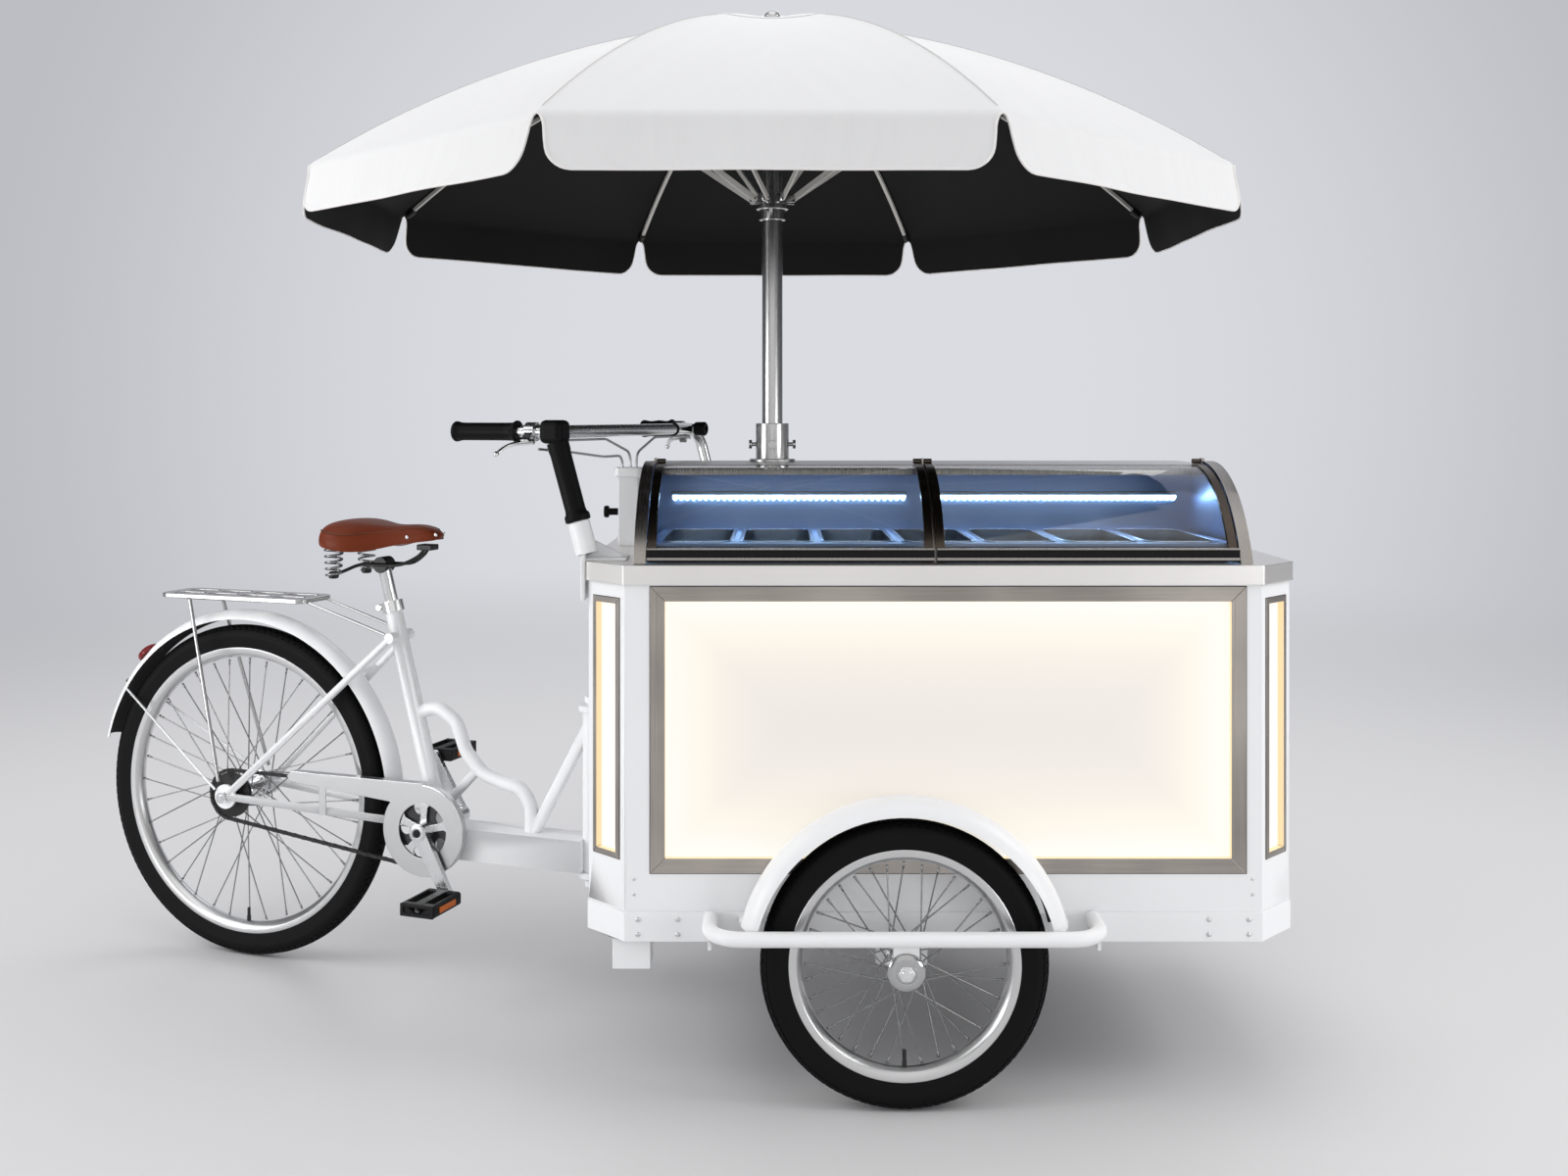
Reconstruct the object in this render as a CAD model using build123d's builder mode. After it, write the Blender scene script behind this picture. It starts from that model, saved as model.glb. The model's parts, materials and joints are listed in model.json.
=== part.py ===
"""Ice cream cart: a front-box cargo tricycle with a glass display freezer, lit panels and a parasol.

Frame: +X forward, +Y to the left, +Z up, origin on the floor under the middle of the whole cart.
All sizes are in millimetres.
"""

import os
from math import asin, cos, pi, radians, sin, sqrt

from build123d import *

os.makedirs("parts", exist_ok=True)

# Placement of the main groups
front_axle_x = 517.75
box_center_y = -74.0
steer_x = front_axle_x - 589.0
pole_x = front_axle_x - 228.0
rest_yaw = radians(20)

# Running clearance of a shaft in its bore, and the side gap of a hinged eye
running_gap = 0.05
side_gap = 0.6

# Cart box
box_rear_x = front_axle_x - 556.0
box_length = 1258.0
box_width = 800.0
box_chamfer = 72.0
box_center_x = box_rear_x + box_length / 2
box_front_x = box_rear_x + box_length
near_y = box_center_y - box_width / 2
far_y = box_center_y + box_width / 2
rim_bottom = 263.0
rim_top = 315.0
rim_proud = 2.0
sheet = 3.0
counter_bottom = 887.0
counter_top = 921.0
counter_sheet = 2.0
counter_overhang = 6.0

# Lit windows
window_bottom = 382.0
window_top = 884.0
window_frame_width = 26.0
side_window_rear = box_rear_x + 116.0
side_window_front = box_rear_x + 1159.0
corner_window_width = 74.0
frame_depth = 12.0
panel_thickness = 6.0

# Display freezer: the section is an arc about (arch_y, arch_z)
display_rear_x = box_rear_x + 84.0
display_front_x = box_rear_x + 1180.0
display_mid_x = (display_rear_x + display_front_x) / 2 - 13.0
arch_y = -193.5
arch_z = 822.6
glass_radius = 265.0
glass_thickness = 5.0
deck_z = 1087.0
deck_front_y = arch_y + 5.5
back_wall_y = -46.0
housing_rear_y = 75.0
end_arch_width = 22.0
sash_width = 16.0
sash_outer = 268.0
sash_inner = 258.0
lid_gap = 2.0
lid_rail_top = 948.0
lid_top_rail_y = arch_y - 21.5
lid_top_rail_z = deck_z - 6.6
hinge_y = arch_y + 3.5
hinge_z = deck_z + 7.0
hinge_pin_radius = 3.0
tray_z = 953.0
tray_front_y = -410.0
pan_count = 7
pan_pitch = 147.0
pan_width = 138.0
pan_length = 320.0
pan_depth = 120.0
tub_bottom = 660.0

# Front wheels, rear wheel
front_tyre_radius = 247.0
front_tyre_width = 48.0
front_track = 920.0
front_axle_radius = 8.0
rear_tyre_radius = 361.0
rear_tyre_width = 47.0
rear_axle_radius = 6.0
bead_depth = 43.0
rim_depth = 24.0
tyre_wall = 4.5
spoke_count = 36
spoke_radius = 1.3
spoke_lead = radians(62)
spoke_spread = 0.7
hub_half_length = 36.0

# Guard rails and mudguards
rail_diameter = 26.0
rail_reach = 113.0
rail_half_length = 346.0
rail_z = 305.0
rail_bend = 58.0
guard_radius = 287.0
guard_half_width = 36.0
guard_drop = 29.0
guard_start = 13.0

# Bicycle half, by distance behind the steering axis, distance to the right, and height
rear_axle_t = 843.0
crank_t = 355.0
crank_z = 330.0
dropout_w = 75.0
chain_w = 56.0
crank_fall = (-67.0, -119.0)
seat_tube_top_t = 474.0
seat_tube_top_z = 789.0
seat_post_radius = 13.6
chain_pitch = 12.7
chainring_teeth = 40
sprocket_teeth = 26
chain_half_height = 4.0
rack_top = 790.0

# Handlebar
bar_z = 1153.0
bar_diameter = 24.0
near_corner = (front_axle_x - 621.0, -374.0, bar_z)
far_corner = (front_axle_x - 394.0, 226.0, bar_z)
near_foot = (front_axle_x - 562.0, -393.0, 941.0)
far_foot = (front_axle_x - 336.0, 205.0, counter_top + 6.0)
grip_length = 205.0
far_grip_length = 132.0
grip_diameter = 34.0
lever_thickness = 8.0

# Umbrella
pole_radius = 21.0
canopy_radius = 918.0
canopy_sheet = 1.5
valance_bottom = 1550.0
rib_count = 8
rib_pivot = (35.0, 1978.0)
strut_pivot = (42.0, 1626.0)
strut_end = (430.0, 1880.0)
pivot_pin_radius = 2.5
rib_half_width = 4.0
canopy_profile = ((28.0, 1993.0), (430.0, 1893.0), (canopy_radius, 1640.0))
rib_profile = (rib_pivot, (430.0, 1884.0), (905.0, 1638.0))


def save(builder, name):
    """Label a finished piece and write it to its own file."""
    builder.part.label = name
    export_step(builder.part, f"parts/{name}.step")


def save_plates(builders, name):
    """Write plates that are welded edge to edge to one file, each as its own solid."""
    plates = Compound([solid for builder in builders for solid in builder.part.solids()])
    plates.label = name
    export_step(plates, f"parts/{name}.step")


def block(low, high, mode=Mode.ADD):
    """Rectangular block between two corners."""
    low, high = Vector(low), Vector(high)
    with Locations((low + high) / 2):
        Box(high.X - low.X, high.Y - low.Y, high.Z - low.Z, mode=mode)


def rod(start, end, diameter, mode=Mode.ADD):
    """Straight round bar between two points."""
    start, end = Vector(start), Vector(end)
    with BuildSketch(Plane(start, z_dir=end - start)) as section:
        Circle(diameter / 2)
    extrude(section.sketch, amount=(end - start).length, mode=mode)


def bent_tube(points, bends, diameter):
    """Round bar along straight runs joined by tangent arcs."""
    with BuildLine() as path:
        FilletPolyline(*points, radius=bends)
    with BuildSketch(Plane(path.line @ 0, z_dir=path.line % 0)) as section:
        Circle(diameter / 2)
    sweep(section.sketch, path=path.line)


def bike(t, w, z):
    """Point of the bicycle half: t behind the steering axis, w to the right, z up."""
    x = steer_x - t * cos(rest_yaw) - w * sin(rest_yaw)
    y = box_center_y + t * sin(rest_yaw) - w * cos(rest_yaw)
    return Vector(x, y, z)


bike_back = Vector(-cos(rest_yaw), sin(rest_yaw), 0)
bike_right = Vector(-sin(rest_yaw), -cos(rest_yaw), 0)


def bike_side(w):
    """Upright plane of the bicycle half at w to the right; its x is t and its y is the height."""
    return Plane(bike(0, w, 0), x_dir=bike_back, z_dir=bike_right * -1)


def rear_axle(w):
    """Point of the rear wheel's axle line at w to the right."""
    return bike(rear_axle_t, w, rear_tyre_radius)


def crank_axle(w):
    """Point of the crank's axle line at w to the right."""
    return bike(crank_t, w, crank_z)


def box_corners(grow):
    """Plan corners of the cart box about its middle, in order, grown outwards."""
    half_x = box_length / 2 + grow
    half_y = box_width / 2 + grow
    cut = box_chamfer + grow * (2 - sqrt(2))
    quarter = [(half_x, half_y - cut), (half_x - cut, half_y)]
    corners = []
    for way_x, way_y in ((1, 1), (-1, 1), (-1, -1), (1, -1)):
        side = quarter if way_x == way_y else quarter[::-1]
        corners += [(way_x * x, way_y * y) for x, y in side]
    return corners


def box_outline(z, grow):
    """Plan outline of the cart box at a height, grown outwards."""
    with BuildSketch(Plane((box_center_x, box_center_y, z))) as outline:
        Polygon(*box_corners(grow), align=None)
    return outline.sketch


def wall_plane(x, y, z, angle):
    """Plane on an upright wall, facing outwards at an angle from +X."""
    normal = Vector(cos(radians(angle)), sin(radians(angle)), 0)
    return Plane((x, y, z), x_dir=Vector(0, 0, 1).cross(normal), z_dir=normal)


def lit_windows():
    """Planes, widths and heights of the lit windows: two sides, front end and four corners."""
    height = window_top - window_bottom
    middle_z = (window_top + window_bottom) / 2
    side_x = (side_window_rear + side_window_front) / 2
    side_length = side_window_front - side_window_rear
    front_width = box_width - 2 * box_chamfer - 92.0
    corner_height = height - 44.0
    windows = [
        (wall_plane(side_x, near_y, middle_z, -90), side_length, height, window_frame_width),
        (wall_plane(side_x, far_y, middle_z, 90), side_length, height, window_frame_width),
        (wall_plane(box_front_x, box_center_y, middle_z, 0), front_width, height, window_frame_width),
    ]
    for corner_x, way_x in ((box_rear_x, -1), (box_front_x, 1)):
        for corner_y, way_y in ((near_y, -1), (far_y, 1)):
            x = corner_x - way_x * box_chamfer / 2
            y = corner_y - way_y * box_chamfer / 2
            angle = {(-1, -1): -135, (-1, 1): 135, (1, -1): -45, (1, 1): 45}[way_x, way_y]
            windows.append((wall_plane(x, y, middle_z, angle), corner_window_width, corner_height, 10.0))
    return windows


# Chassis: folded rim, cross tubes, axle hangers, stub feet, steering lugs and pin
rim_flange = 38.0
cross_tube_xs = (box_rear_x + 250.0, front_axle_x - 70.0, front_axle_x + 70.0)
cross_tube_half = 20.0
cross_tube_bottom = 275.0
cross_tube_wall = Vector(3.0, 6.0, 3.0)
hanger_half = 45.0
hanger_span = (222.0, 300.0)
hanger_depth = 8.0
foot_low_x = box_rear_x + 48.0
foot_width = 67.0
foot_inset = (22.0, 82.0)
foot_bottom = 207.0
steer_pin_radius = 11.0
steer_pin_span = (245.0, 615.0)
steer_nut_spans = ((237.0, 249.0), (606.0, 618.0))
steer_nut_diameter = 32.0
lug_low = (255.0, 267.0)
lug_high = (589.0, 601.0)
lug_half = 28.0
lug_plate_half = 60.0
lug_plate_top = 640.0
lug_plate_x = box_rear_x - 10.0
with BuildPart() as chassis_frame:
    rim_height = rim_top - rim_bottom
    extrude(box_outline(rim_bottom, rim_proud), amount=rim_height)
    extrude(box_outline(rim_bottom, rim_proud - sheet), amount=rim_height - sheet, mode=Mode.SUBTRACT)
    extrude(box_outline(rim_bottom, -rim_flange), amount=rim_height, mode=Mode.SUBTRACT)
    for cross_x in cross_tube_xs:
        tube_low = Vector(cross_x - cross_tube_half, near_y + rim_proud, cross_tube_bottom)
        tube_high = Vector(cross_x + cross_tube_half, far_y - rim_proud, rim_top - sheet)
        block(tube_low, tube_high)
        block(tube_low + cross_tube_wall, tube_high - cross_tube_wall, Mode.SUBTRACT)
    for side, wall_y in ((1, near_y), (-1, far_y)):
        hanger_y = sorted((wall_y - side * rim_proud, wall_y + side * hanger_depth))
        block((front_axle_x - hanger_half, hanger_y[0], hanger_span[0]),
              (front_axle_x + hanger_half, hanger_y[1], hanger_span[1]))
        foot_y = sorted(wall_y + side * inset for inset in foot_inset)
        block((foot_low_x, foot_y[0], foot_bottom), (foot_low_x + foot_width, foot_y[1], rim_top - sheet))
    for end_x, low_z, high_z in ((box_rear_x - rim_proud, lug_low[0], rim_top),
                                 (box_rear_x, rim_top, lug_plate_top)):
        block((lug_plate_x, box_center_y - lug_plate_half, low_z),
              (end_x, box_center_y + lug_plate_half, high_z))
    for low_z, high_z in (lug_low, lug_high):
        block((steer_x, box_center_y - lug_half, low_z), (lug_plate_x, box_center_y + lug_half, high_z))
        rod((steer_x, box_center_y, low_z), (steer_x, box_center_y, high_z), 2 * lug_half)
    pin_low, pin_high = ((steer_x, box_center_y, z) for z in steer_pin_span)
    rod(pin_low, pin_high, 2 * steer_pin_radius)
    for low_z, high_z in steer_nut_spans:
        rod((steer_x, box_center_y, low_z), (steer_x, box_center_y, high_z), steer_nut_diameter)
save(chassis_frame, "chassis_frame")

# Cabinet: a floor sheet and eight wall sheets mitred at the corners, cut for the lit windows and a
# louvre at the back
louvre_y = box_center_y + 190.0
louvre_low_z = 398.0
louvre_pitch = 24.0
louvre_rows = 7
louvre_slot = (180.0, 9.0)
with BuildPart() as cabinet_floor:
    extrude(box_outline(rim_top, 0), amount=sheet)
cabinet_sheets = [cabinet_floor]
wall_height = counter_top - counter_sheet - rim_top - sheet
outer_corners = box_corners(0)
inner_corners = box_corners(-sheet)
for i, outer_corner in enumerate(outer_corners):
    with BuildPart() as cabinet_wall:
        with BuildSketch(Plane((box_center_x, box_center_y, rim_top + sheet))):
            with BuildLine():
                Polyline(outer_corners[i - 1], outer_corner, inner_corners[i], inner_corners[i - 1], close=True)
            make_face()
        extrude(amount=wall_height)
        for plane, width, height, frame_width in lit_windows():
            with BuildSketch(plane):
                Rectangle(width, height)
            extrude(amount=4 * sheet, both=True, mode=Mode.SUBTRACT)
        with Locations(*[(box_rear_x, louvre_y, louvre_low_z + louvre_pitch * row) for row in range(louvre_rows)]):
            Box(4 * sheet, *louvre_slot, mode=Mode.SUBTRACT)
    cabinet_sheets.append(cabinet_wall)
save_plates(cabinet_sheets, "cabinet_shell")

# Stainless picture frames in the windows, and the lit sheets behind them
frame_proud = 2.0
with BuildPart() as light_frames:
    for plane, width, height, frame_width in lit_windows():
        with BuildSketch(plane.offset(frame_proud)):
            Rectangle(width - 1, height - 1)
            Rectangle(width - 2 * frame_width, height - 2 * frame_width, mode=Mode.SUBTRACT)
        extrude(amount=-frame_depth)
save(light_frames, "light_frames")

with BuildPart() as light_panels:
    for plane, width, height, frame_width in lit_windows():
        with BuildSketch(plane.offset(frame_proud - frame_depth)):
            Rectangle(width - 4, height - 4)
        extrude(amount=-panel_thickness)
save(light_panels, "light_panels")

# Countertop: folded stainless sheet with the freezer opening
opening_rear_x = display_rear_x + 36.0
opening_front_x = display_front_x - 36.0
opening_near_y = tray_front_y + 3.0
opening_far_y = -58.0
with BuildPart() as countertop:
    fold_height = counter_top - counter_bottom
    inner_outline = box_outline(counter_bottom, counter_overhang - counter_sheet)
    extrude(box_outline(counter_bottom, counter_overhang), amount=fold_height)
    extrude(inner_outline, amount=fold_height - counter_sheet, mode=Mode.SUBTRACT)
    block((opening_rear_x, opening_near_y, counter_bottom), (opening_front_x, opening_far_y, counter_top),
          Mode.SUBTRACT)
save(countertop, "countertop")


def arch_point(radius, angle):
    """Point of the display's section at a radius, with the angle from the front up to the top."""
    return (arch_y - radius * cos(angle), arch_z + radius * sin(angle))


def arch_band(outer, inner, foot_z, end_y=arch_y):
    """Sketch face between two arcs of the display's section, from foot_z up to end_y."""
    ends = []
    for radius in (outer, inner):
        foot = asin((foot_z - arch_z) / radius)
        head = pi / 2 - asin((arch_y - end_y) / radius)
        ends.append([arch_point(radius, angle) for angle in (foot, (foot + head) / 2, head)])
    with BuildLine() as outline:
        ThreePointArc(*ends[0])
        Line(ends[0][2], ends[1][2])
        ThreePointArc(*reversed(ends[1]))
        Line(ends[1][0], ends[0][0])
    make_face(outline.edges())


# Display housing: end walls with arches, middle arch, deck, inner back wall, rear wall, hinge pins
end_wall_radius = deck_z - arch_z
end_arch_radii = (272.0, 262.0)
mid_arch_radii = (sash_inner - 1.0, sash_inner - 5.0)
mid_arch_half = 15.0
mid_ear_half = 1.4
wall_sheet = 2.0
deck_lip = 20.0
pole_hole = 48.0
ear_low = (arch_y - 4.0, deck_z - 8.0)
ear_high = (deck_front_y + 8.0, hinge_z + 6.0)
ear_inset = 5.5
ear_reach = 0.4
rear_lid_span = (display_rear_x + end_arch_width + 1, display_mid_x - lid_gap)
front_lid_span = (display_mid_x + lid_gap, display_front_x - end_arch_width - 1)
with BuildPart() as display_housing:
    for wall_x, way in ((display_rear_x, 1), (display_front_x, -1)):
        foot = asin((counter_top - arch_z) / end_wall_radius)
        with BuildSketch(Plane.YZ.offset(wall_x)):
            with BuildLine():
                ThreePointArc(*[arch_point(end_wall_radius, a) for a in (foot, foot / 2 + pi / 4, pi / 2)])
                Polyline((arch_y, deck_z), (housing_rear_y, deck_z), (housing_rear_y, counter_top),
                         arch_point(end_wall_radius, foot))
            make_face()
        extrude(amount=way * sheet)
        with BuildSketch(Plane.YZ.offset(wall_x)):
            arch_band(*end_arch_radii, counter_top)
        extrude(amount=way * end_arch_width)
        inside_x = wall_x + way * end_arch_width
        ear_x = sorted((inside_x - way * ear_inset, inside_x + way * ear_reach))
        block((ear_x[0], *ear_low), (ear_x[1], *ear_high))
        rod((inside_x - way * ear_inset / 2, hinge_y, hinge_z), (inside_x + way * sash_width, hinge_y, hinge_z),
            2 * hinge_pin_radius)
    with BuildSketch(Plane.YZ.offset(display_mid_x - mid_arch_half)):
        arch_band(*mid_arch_radii, counter_top, deck_front_y)
    extrude(amount=2 * mid_arch_half)
    block((display_mid_x - mid_ear_half, *ear_low), (display_mid_x + mid_ear_half, *ear_high))
    rod((display_mid_x - sash_width, hinge_y, hinge_z), (display_mid_x + sash_width, hinge_y, hinge_z),
        2 * hinge_pin_radius)
    block((display_rear_x, deck_front_y, deck_z - wall_sheet), (display_front_x, housing_rear_y, deck_z))
    block((display_rear_x, deck_front_y, deck_z - deck_lip),
          (display_front_x, deck_front_y + wall_sheet, deck_z))
    for wall_y in (back_wall_y, housing_rear_y - wall_sheet):
        block((display_rear_x, wall_y, counter_top), (display_front_x, wall_y + wall_sheet, deck_z))
    rod((pole_x, 0, deck_z - 2 * wall_sheet), (pole_x, 0, deck_z), pole_hole, Mode.SUBTRACT)
save(display_housing, "display_housing")


lid_rail_y = (-446.0, -431.0)
knuckle_diameter = 10.0
bore_over = 1.0


def lid_sash(low_x, high_x):
    """Bronze sash of one lid: two arches, bottom rail, top rail and hinge knuckles."""
    with BuildPart() as sash:
        for arch_x in (low_x, high_x - sash_width):
            with BuildSketch(Plane.YZ.offset(arch_x)):
                arch_band(sash_outer, sash_inner, lid_rail_top - 10, hinge_y + 0.5)
            extrude(amount=sash_width)
            rod((arch_x, hinge_y, hinge_z), (arch_x + sash_width, hinge_y, hinge_z), knuckle_diameter)
            rod((arch_x - bore_over, hinge_y, hinge_z), (arch_x + sash_width + bore_over, hinge_y, hinge_z),
                2 * (hinge_pin_radius + running_gap), Mode.SUBTRACT)
        block((low_x, lid_rail_y[0], counter_top + lid_gap), (high_x, lid_rail_y[1], lid_rail_top))
        block((low_x, lid_top_rail_y, lid_top_rail_z), (high_x, arch_y, deck_z))
    return sash


def lid_glass(low_x, high_x):
    """Curved glass sheet of one lid, inside its sash."""
    with BuildPart() as glass:
        with BuildSketch(Plane.YZ.offset(low_x + sash_width)):
            arch_band(glass_radius, glass_radius - glass_thickness, lid_rail_top, lid_top_rail_y)
        extrude(amount=high_x - low_x - 2 * sash_width)
    return glass


for lid_name, lid_span in (("rear", rear_lid_span), ("front", front_lid_span)):
    save(lid_sash(*lid_span), f"lid_sash_{lid_name}")
    save(lid_glass(*lid_span), f"lid_glass_{lid_name}")

# Freezer tub of five sheets, the two ledges and the divider bars that carry the pans, the pans, and the
# light strips on the back wall
tray_sheet = 2.0
tub_gap = 2.0
tray_rear_x = display_rear_x + end_arch_width + 2
tray_end_x = display_front_x - end_arch_width - 2
pan_center_y = (tray_front_y + back_wall_y) / 2
pan_center_x = (tray_rear_x + tray_end_x) / 2
pan_spots = [(pan_center_x + pan_pitch * (i - (pan_count - 1) / 2), pan_center_y) for i in range(pan_count)]
tray_lap = 6.0
tub_rear_x = opening_rear_x + tub_gap
tub_front_x = opening_front_x - tub_gap
tub_near_y = opening_near_y + tub_gap
tub_far_y = opening_far_y - tub_gap
tub_floor = tub_bottom + tray_sheet
tub_top = tray_z - tray_sheet
ledge_near_y = pan_center_y - pan_length / 2 + tray_lap
ledge_far_y = pan_center_y + pan_length / 2 - tray_lap
bar_edges = [tray_rear_x]
for pan_x, pan_y in pan_spots:
    bar_edges += [pan_x - pan_width / 2 + tray_lap, pan_x + pan_width / 2 - tray_lap]
bar_edges.append(tray_end_x)
liner_corners = [
    ((tub_rear_x, tub_near_y, tub_bottom), (tub_front_x, tub_far_y, tub_floor)),
    ((tub_rear_x, tub_near_y, tub_floor), (tub_front_x, tub_near_y + tray_sheet, tub_top)),
    ((tub_rear_x, tub_far_y - tray_sheet, tub_floor), (tub_front_x, tub_far_y, tub_top)),
    ((tub_rear_x, tub_near_y + tray_sheet, tub_floor),
     (tub_rear_x + tray_sheet, tub_far_y - tray_sheet, tub_top)),
    ((tub_front_x - tray_sheet, tub_near_y + tray_sheet, tub_floor),
     (tub_front_x, tub_far_y - tray_sheet, tub_top)),
    ((tray_rear_x, tray_front_y, tub_top), (tray_end_x, ledge_near_y, tray_z)),
    ((tray_rear_x, ledge_far_y, tub_top), (tray_end_x, back_wall_y - 1, tray_z)),
]
for bar_rear_x, bar_front_x in zip(bar_edges[::2], bar_edges[1::2]):
    liner_corners.append(((bar_rear_x, ledge_near_y, tub_top), (bar_front_x, ledge_far_y, tray_z)))
liner_sheets = []
for sheet_low, sheet_high in liner_corners:
    with BuildPart() as liner_sheet:
        block(sheet_low, sheet_high)
    liner_sheets.append(liner_sheet)
save_plates(liner_sheets, "freezer_liner")

pan_flange = 6.5
pan_wall = 1.5
pan_lip = 2.0
pan_corner = 30.0
with BuildPart() as ice_cream_pans:
    for spot in pan_spots:
        top = Plane((*spot, tray_z + pan_lip))
        with BuildSketch(top):
            RectangleRounded(pan_width, pan_length, pan_corner)
        extrude(amount=-pan_lip)
        for inset, depth, mode in ((pan_flange, pan_depth, Mode.ADD),
                                   (pan_flange + pan_wall, pan_depth - pan_wall, Mode.SUBTRACT)):
            with BuildSketch(top):
                RectangleRounded(pan_width - 2 * inset, pan_length - 2 * inset, pan_corner - inset)
            extrude(amount=-depth, mode=mode)
save(ice_cream_pans, "ice_cream_pans")

strip_depth = 14.0
strip_span = (1016.0, 1030.0)
strip_ends = ((rear_lid_span[0] + 18, rear_lid_span[1] - 18), (front_lid_span[0] + 40, front_lid_span[1] - 12))
with BuildPart() as led_strips:
    for low_x, high_x in strip_ends:
        block((low_x, back_wall_y - strip_depth, strip_span[0]), (high_x, back_wall_y, strip_span[1]))
save(led_strips, "led_strips")

# Cooling unit on the cabinet floor: compressor, condenser with fan ring, battery box
floor_z = rim_top + sheet
compressor = Vector(box_rear_x + 130, box_center_y - 190, floor_z)
compressor_size = (170.0, 190.0)
condenser = Vector(box_rear_x + 40, box_center_y + 90, floor_z)
condenser_size = Vector(60, 200, 260)
fan = Vector(box_rear_x + 100, box_center_y + 190, floor_z + 140)
fan_size = (180.0, 35.0)
battery = Vector(box_rear_x + 260, box_center_y - 90, floor_z)
battery_size = Vector(170, 330, 220)
with BuildPart() as cooling_unit:
    rod(compressor, compressor + Vector(0, 0, compressor_size[1]), compressor_size[0])
    fillet(cooling_unit.faces().sort_by(Axis.Z)[-1].edges(), radius=60)
    block(condenser, condenser + condenser_size)
    rod(fan, fan + Vector(fan_size[1], 0, 0), fan_size[0])
    block(battery, battery + battery_size)
save(cooling_unit, "cooling_unit")


def section_plane(center, axle):
    """Half-section plane of a wheel: x is the radius, y runs along the axle."""
    return Plane(center, x_dir=(0, 0, 1), z_dir=Vector(0, 0, 1).cross(axle))


def tyre(center, axle, radius, width):
    """Tyre: a tube wall open at the beads."""
    half = width / 2
    with BuildPart() as ring:
        with BuildSketch(section_plane(center, axle)):
            with Locations((radius - half, 0)):
                Circle(half)
                Circle(half - tyre_wall, mode=Mode.SUBTRACT)
            with Locations((radius - bead_depth - 20, 0)):
                Rectangle(40, 2 * width, mode=Mode.SUBTRACT)
        revolve(axis=Axis(center, axle))
    return ring


def spoke_place(center, axle, hub_point, rim_point):
    """Middle and direction of a spoke between (radius, angle, along the axle) points."""
    ends = []
    for radius, angle, along in (hub_point, rim_point):
        side = Vector(0, 0, 1).cross(axle)
        radial = Vector(0, 0, 1) * cos(angle) + side * sin(angle)
        ends.append(center + radial * radius + axle * along)
    middle = (ends[0] + ends[1]) / 2
    return Location(Plane(middle, z_dir=ends[1] - ends[0])), (ends[1] - ends[0]).length


def spoked_wheel(center, axle, bead, hub_profile, bore, flange):
    """Rim, spokes and hub of a wheel; flange is the radius and offset of the spoke holes."""
    with BuildPart() as wheel:
        with BuildSketch(section_plane(center, axle)):
            with BuildLine():
                Polyline((bead, -16), (bead, 16), (bead - 9, 16), (bead - rim_depth, 7),
                         (bead - rim_depth, -7), (bead - 9, -16), close=True)
            make_face()
            with BuildLine():
                Polyline((bead + 1, -13), (bead + 1, 13), (bead - 8, 13), (bead - 14, 6),
                         (bead - 14, -6), (bead - 8, -13), close=True)
            make_face(mode=Mode.SUBTRACT)
        revolve(axis=Axis(center, axle))
        with BuildSketch(section_plane(center, axle)):
            for radius, low, high in hub_profile:
                with Locations((radius / 2, (low + high) / 2)):
                    Rectangle(radius, high - low)
        revolve(axis=Axis(center, axle))
        places = []
        for index in range(spoke_count):
            side = 1 if index % 2 else -1
            lead = 1 if index % 4 < 2 else -1
            rim_angle = 2 * pi * index / spoke_count
            hub_along = side * (flange[1] + lead * spoke_spread)
            hub_point = (flange[0], rim_angle + lead * spoke_lead, hub_along)
            rim_point = (bead - rim_depth + 4, rim_angle, side * 3)
            place, length = spoke_place(center, axle, hub_point, rim_point)
            places.append(place)
        with Locations(*places):
            Cylinder(spoke_radius, length)
        rod(center - axle * 80, center + axle * 80, 2 * (bore + running_gap), Mode.SUBTRACT)
    return wheel


# Front wheels on stub axles held between the chassis hangers and the rail brackets
front_hub = ((17.0, -hub_half_length, hub_half_length), (30.0, -30.0, -26.0), (30.0, 26.0, 30.0))
for side_name, side in (("right", -1), ("left", 1)):
    wheel_center = Vector(front_axle_x, box_center_y + side * front_track / 2, front_tyre_radius)
    wheel_axle = Vector(0, 1, 0)
    save(tyre(wheel_center, wheel_axle, front_tyre_radius, front_tyre_width), f"front_tyre_{side_name}")
    bead_radius = front_tyre_radius - bead_depth
    wheel = spoked_wheel(wheel_center, wheel_axle, bead_radius, front_hub, front_axle_radius, (26.0, 28.0))
    save(wheel, f"front_wheel_{side_name}")


def axle_point(side, reach):
    """Point of one side's front axle, by its distance out from the cabinet wall."""
    return Vector(front_axle_x, box_center_y + side * (box_width / 2 + reach), front_tyre_radius)


# Stub axles with shoulders beside the hub, and the outer nuts
wheel_reach = (front_track - box_width) / 2
hub_clear = hub_half_length + 0.5
bracket_reach = wheel_reach + hub_clear + 1.5
bracket_plate = 6.0
shoulder_diameter = 26.0
nut_radius = 14.0
nut_height = 10.0
with BuildPart() as front_axles:
    for side in (-1, 1):
        root = axle_point(side, rim_proud)
        nut_face = axle_point(side, bracket_reach + bracket_plate)
        rod(root, axle_point(side, bracket_reach + 20), 2 * front_axle_radius)
        rod(root, axle_point(side, wheel_reach - hub_clear), shoulder_diameter)
        rod(axle_point(side, wheel_reach + hub_clear), axle_point(side, bracket_reach), shoulder_diameter)
        with BuildSketch(Plane(nut_face, x_dir=(1, 0, 0), z_dir=(0, side, 0))):
            RegularPolygon(nut_radius, 6)
        extrude(amount=nut_height)
save(front_axles, "front_axles")

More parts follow.
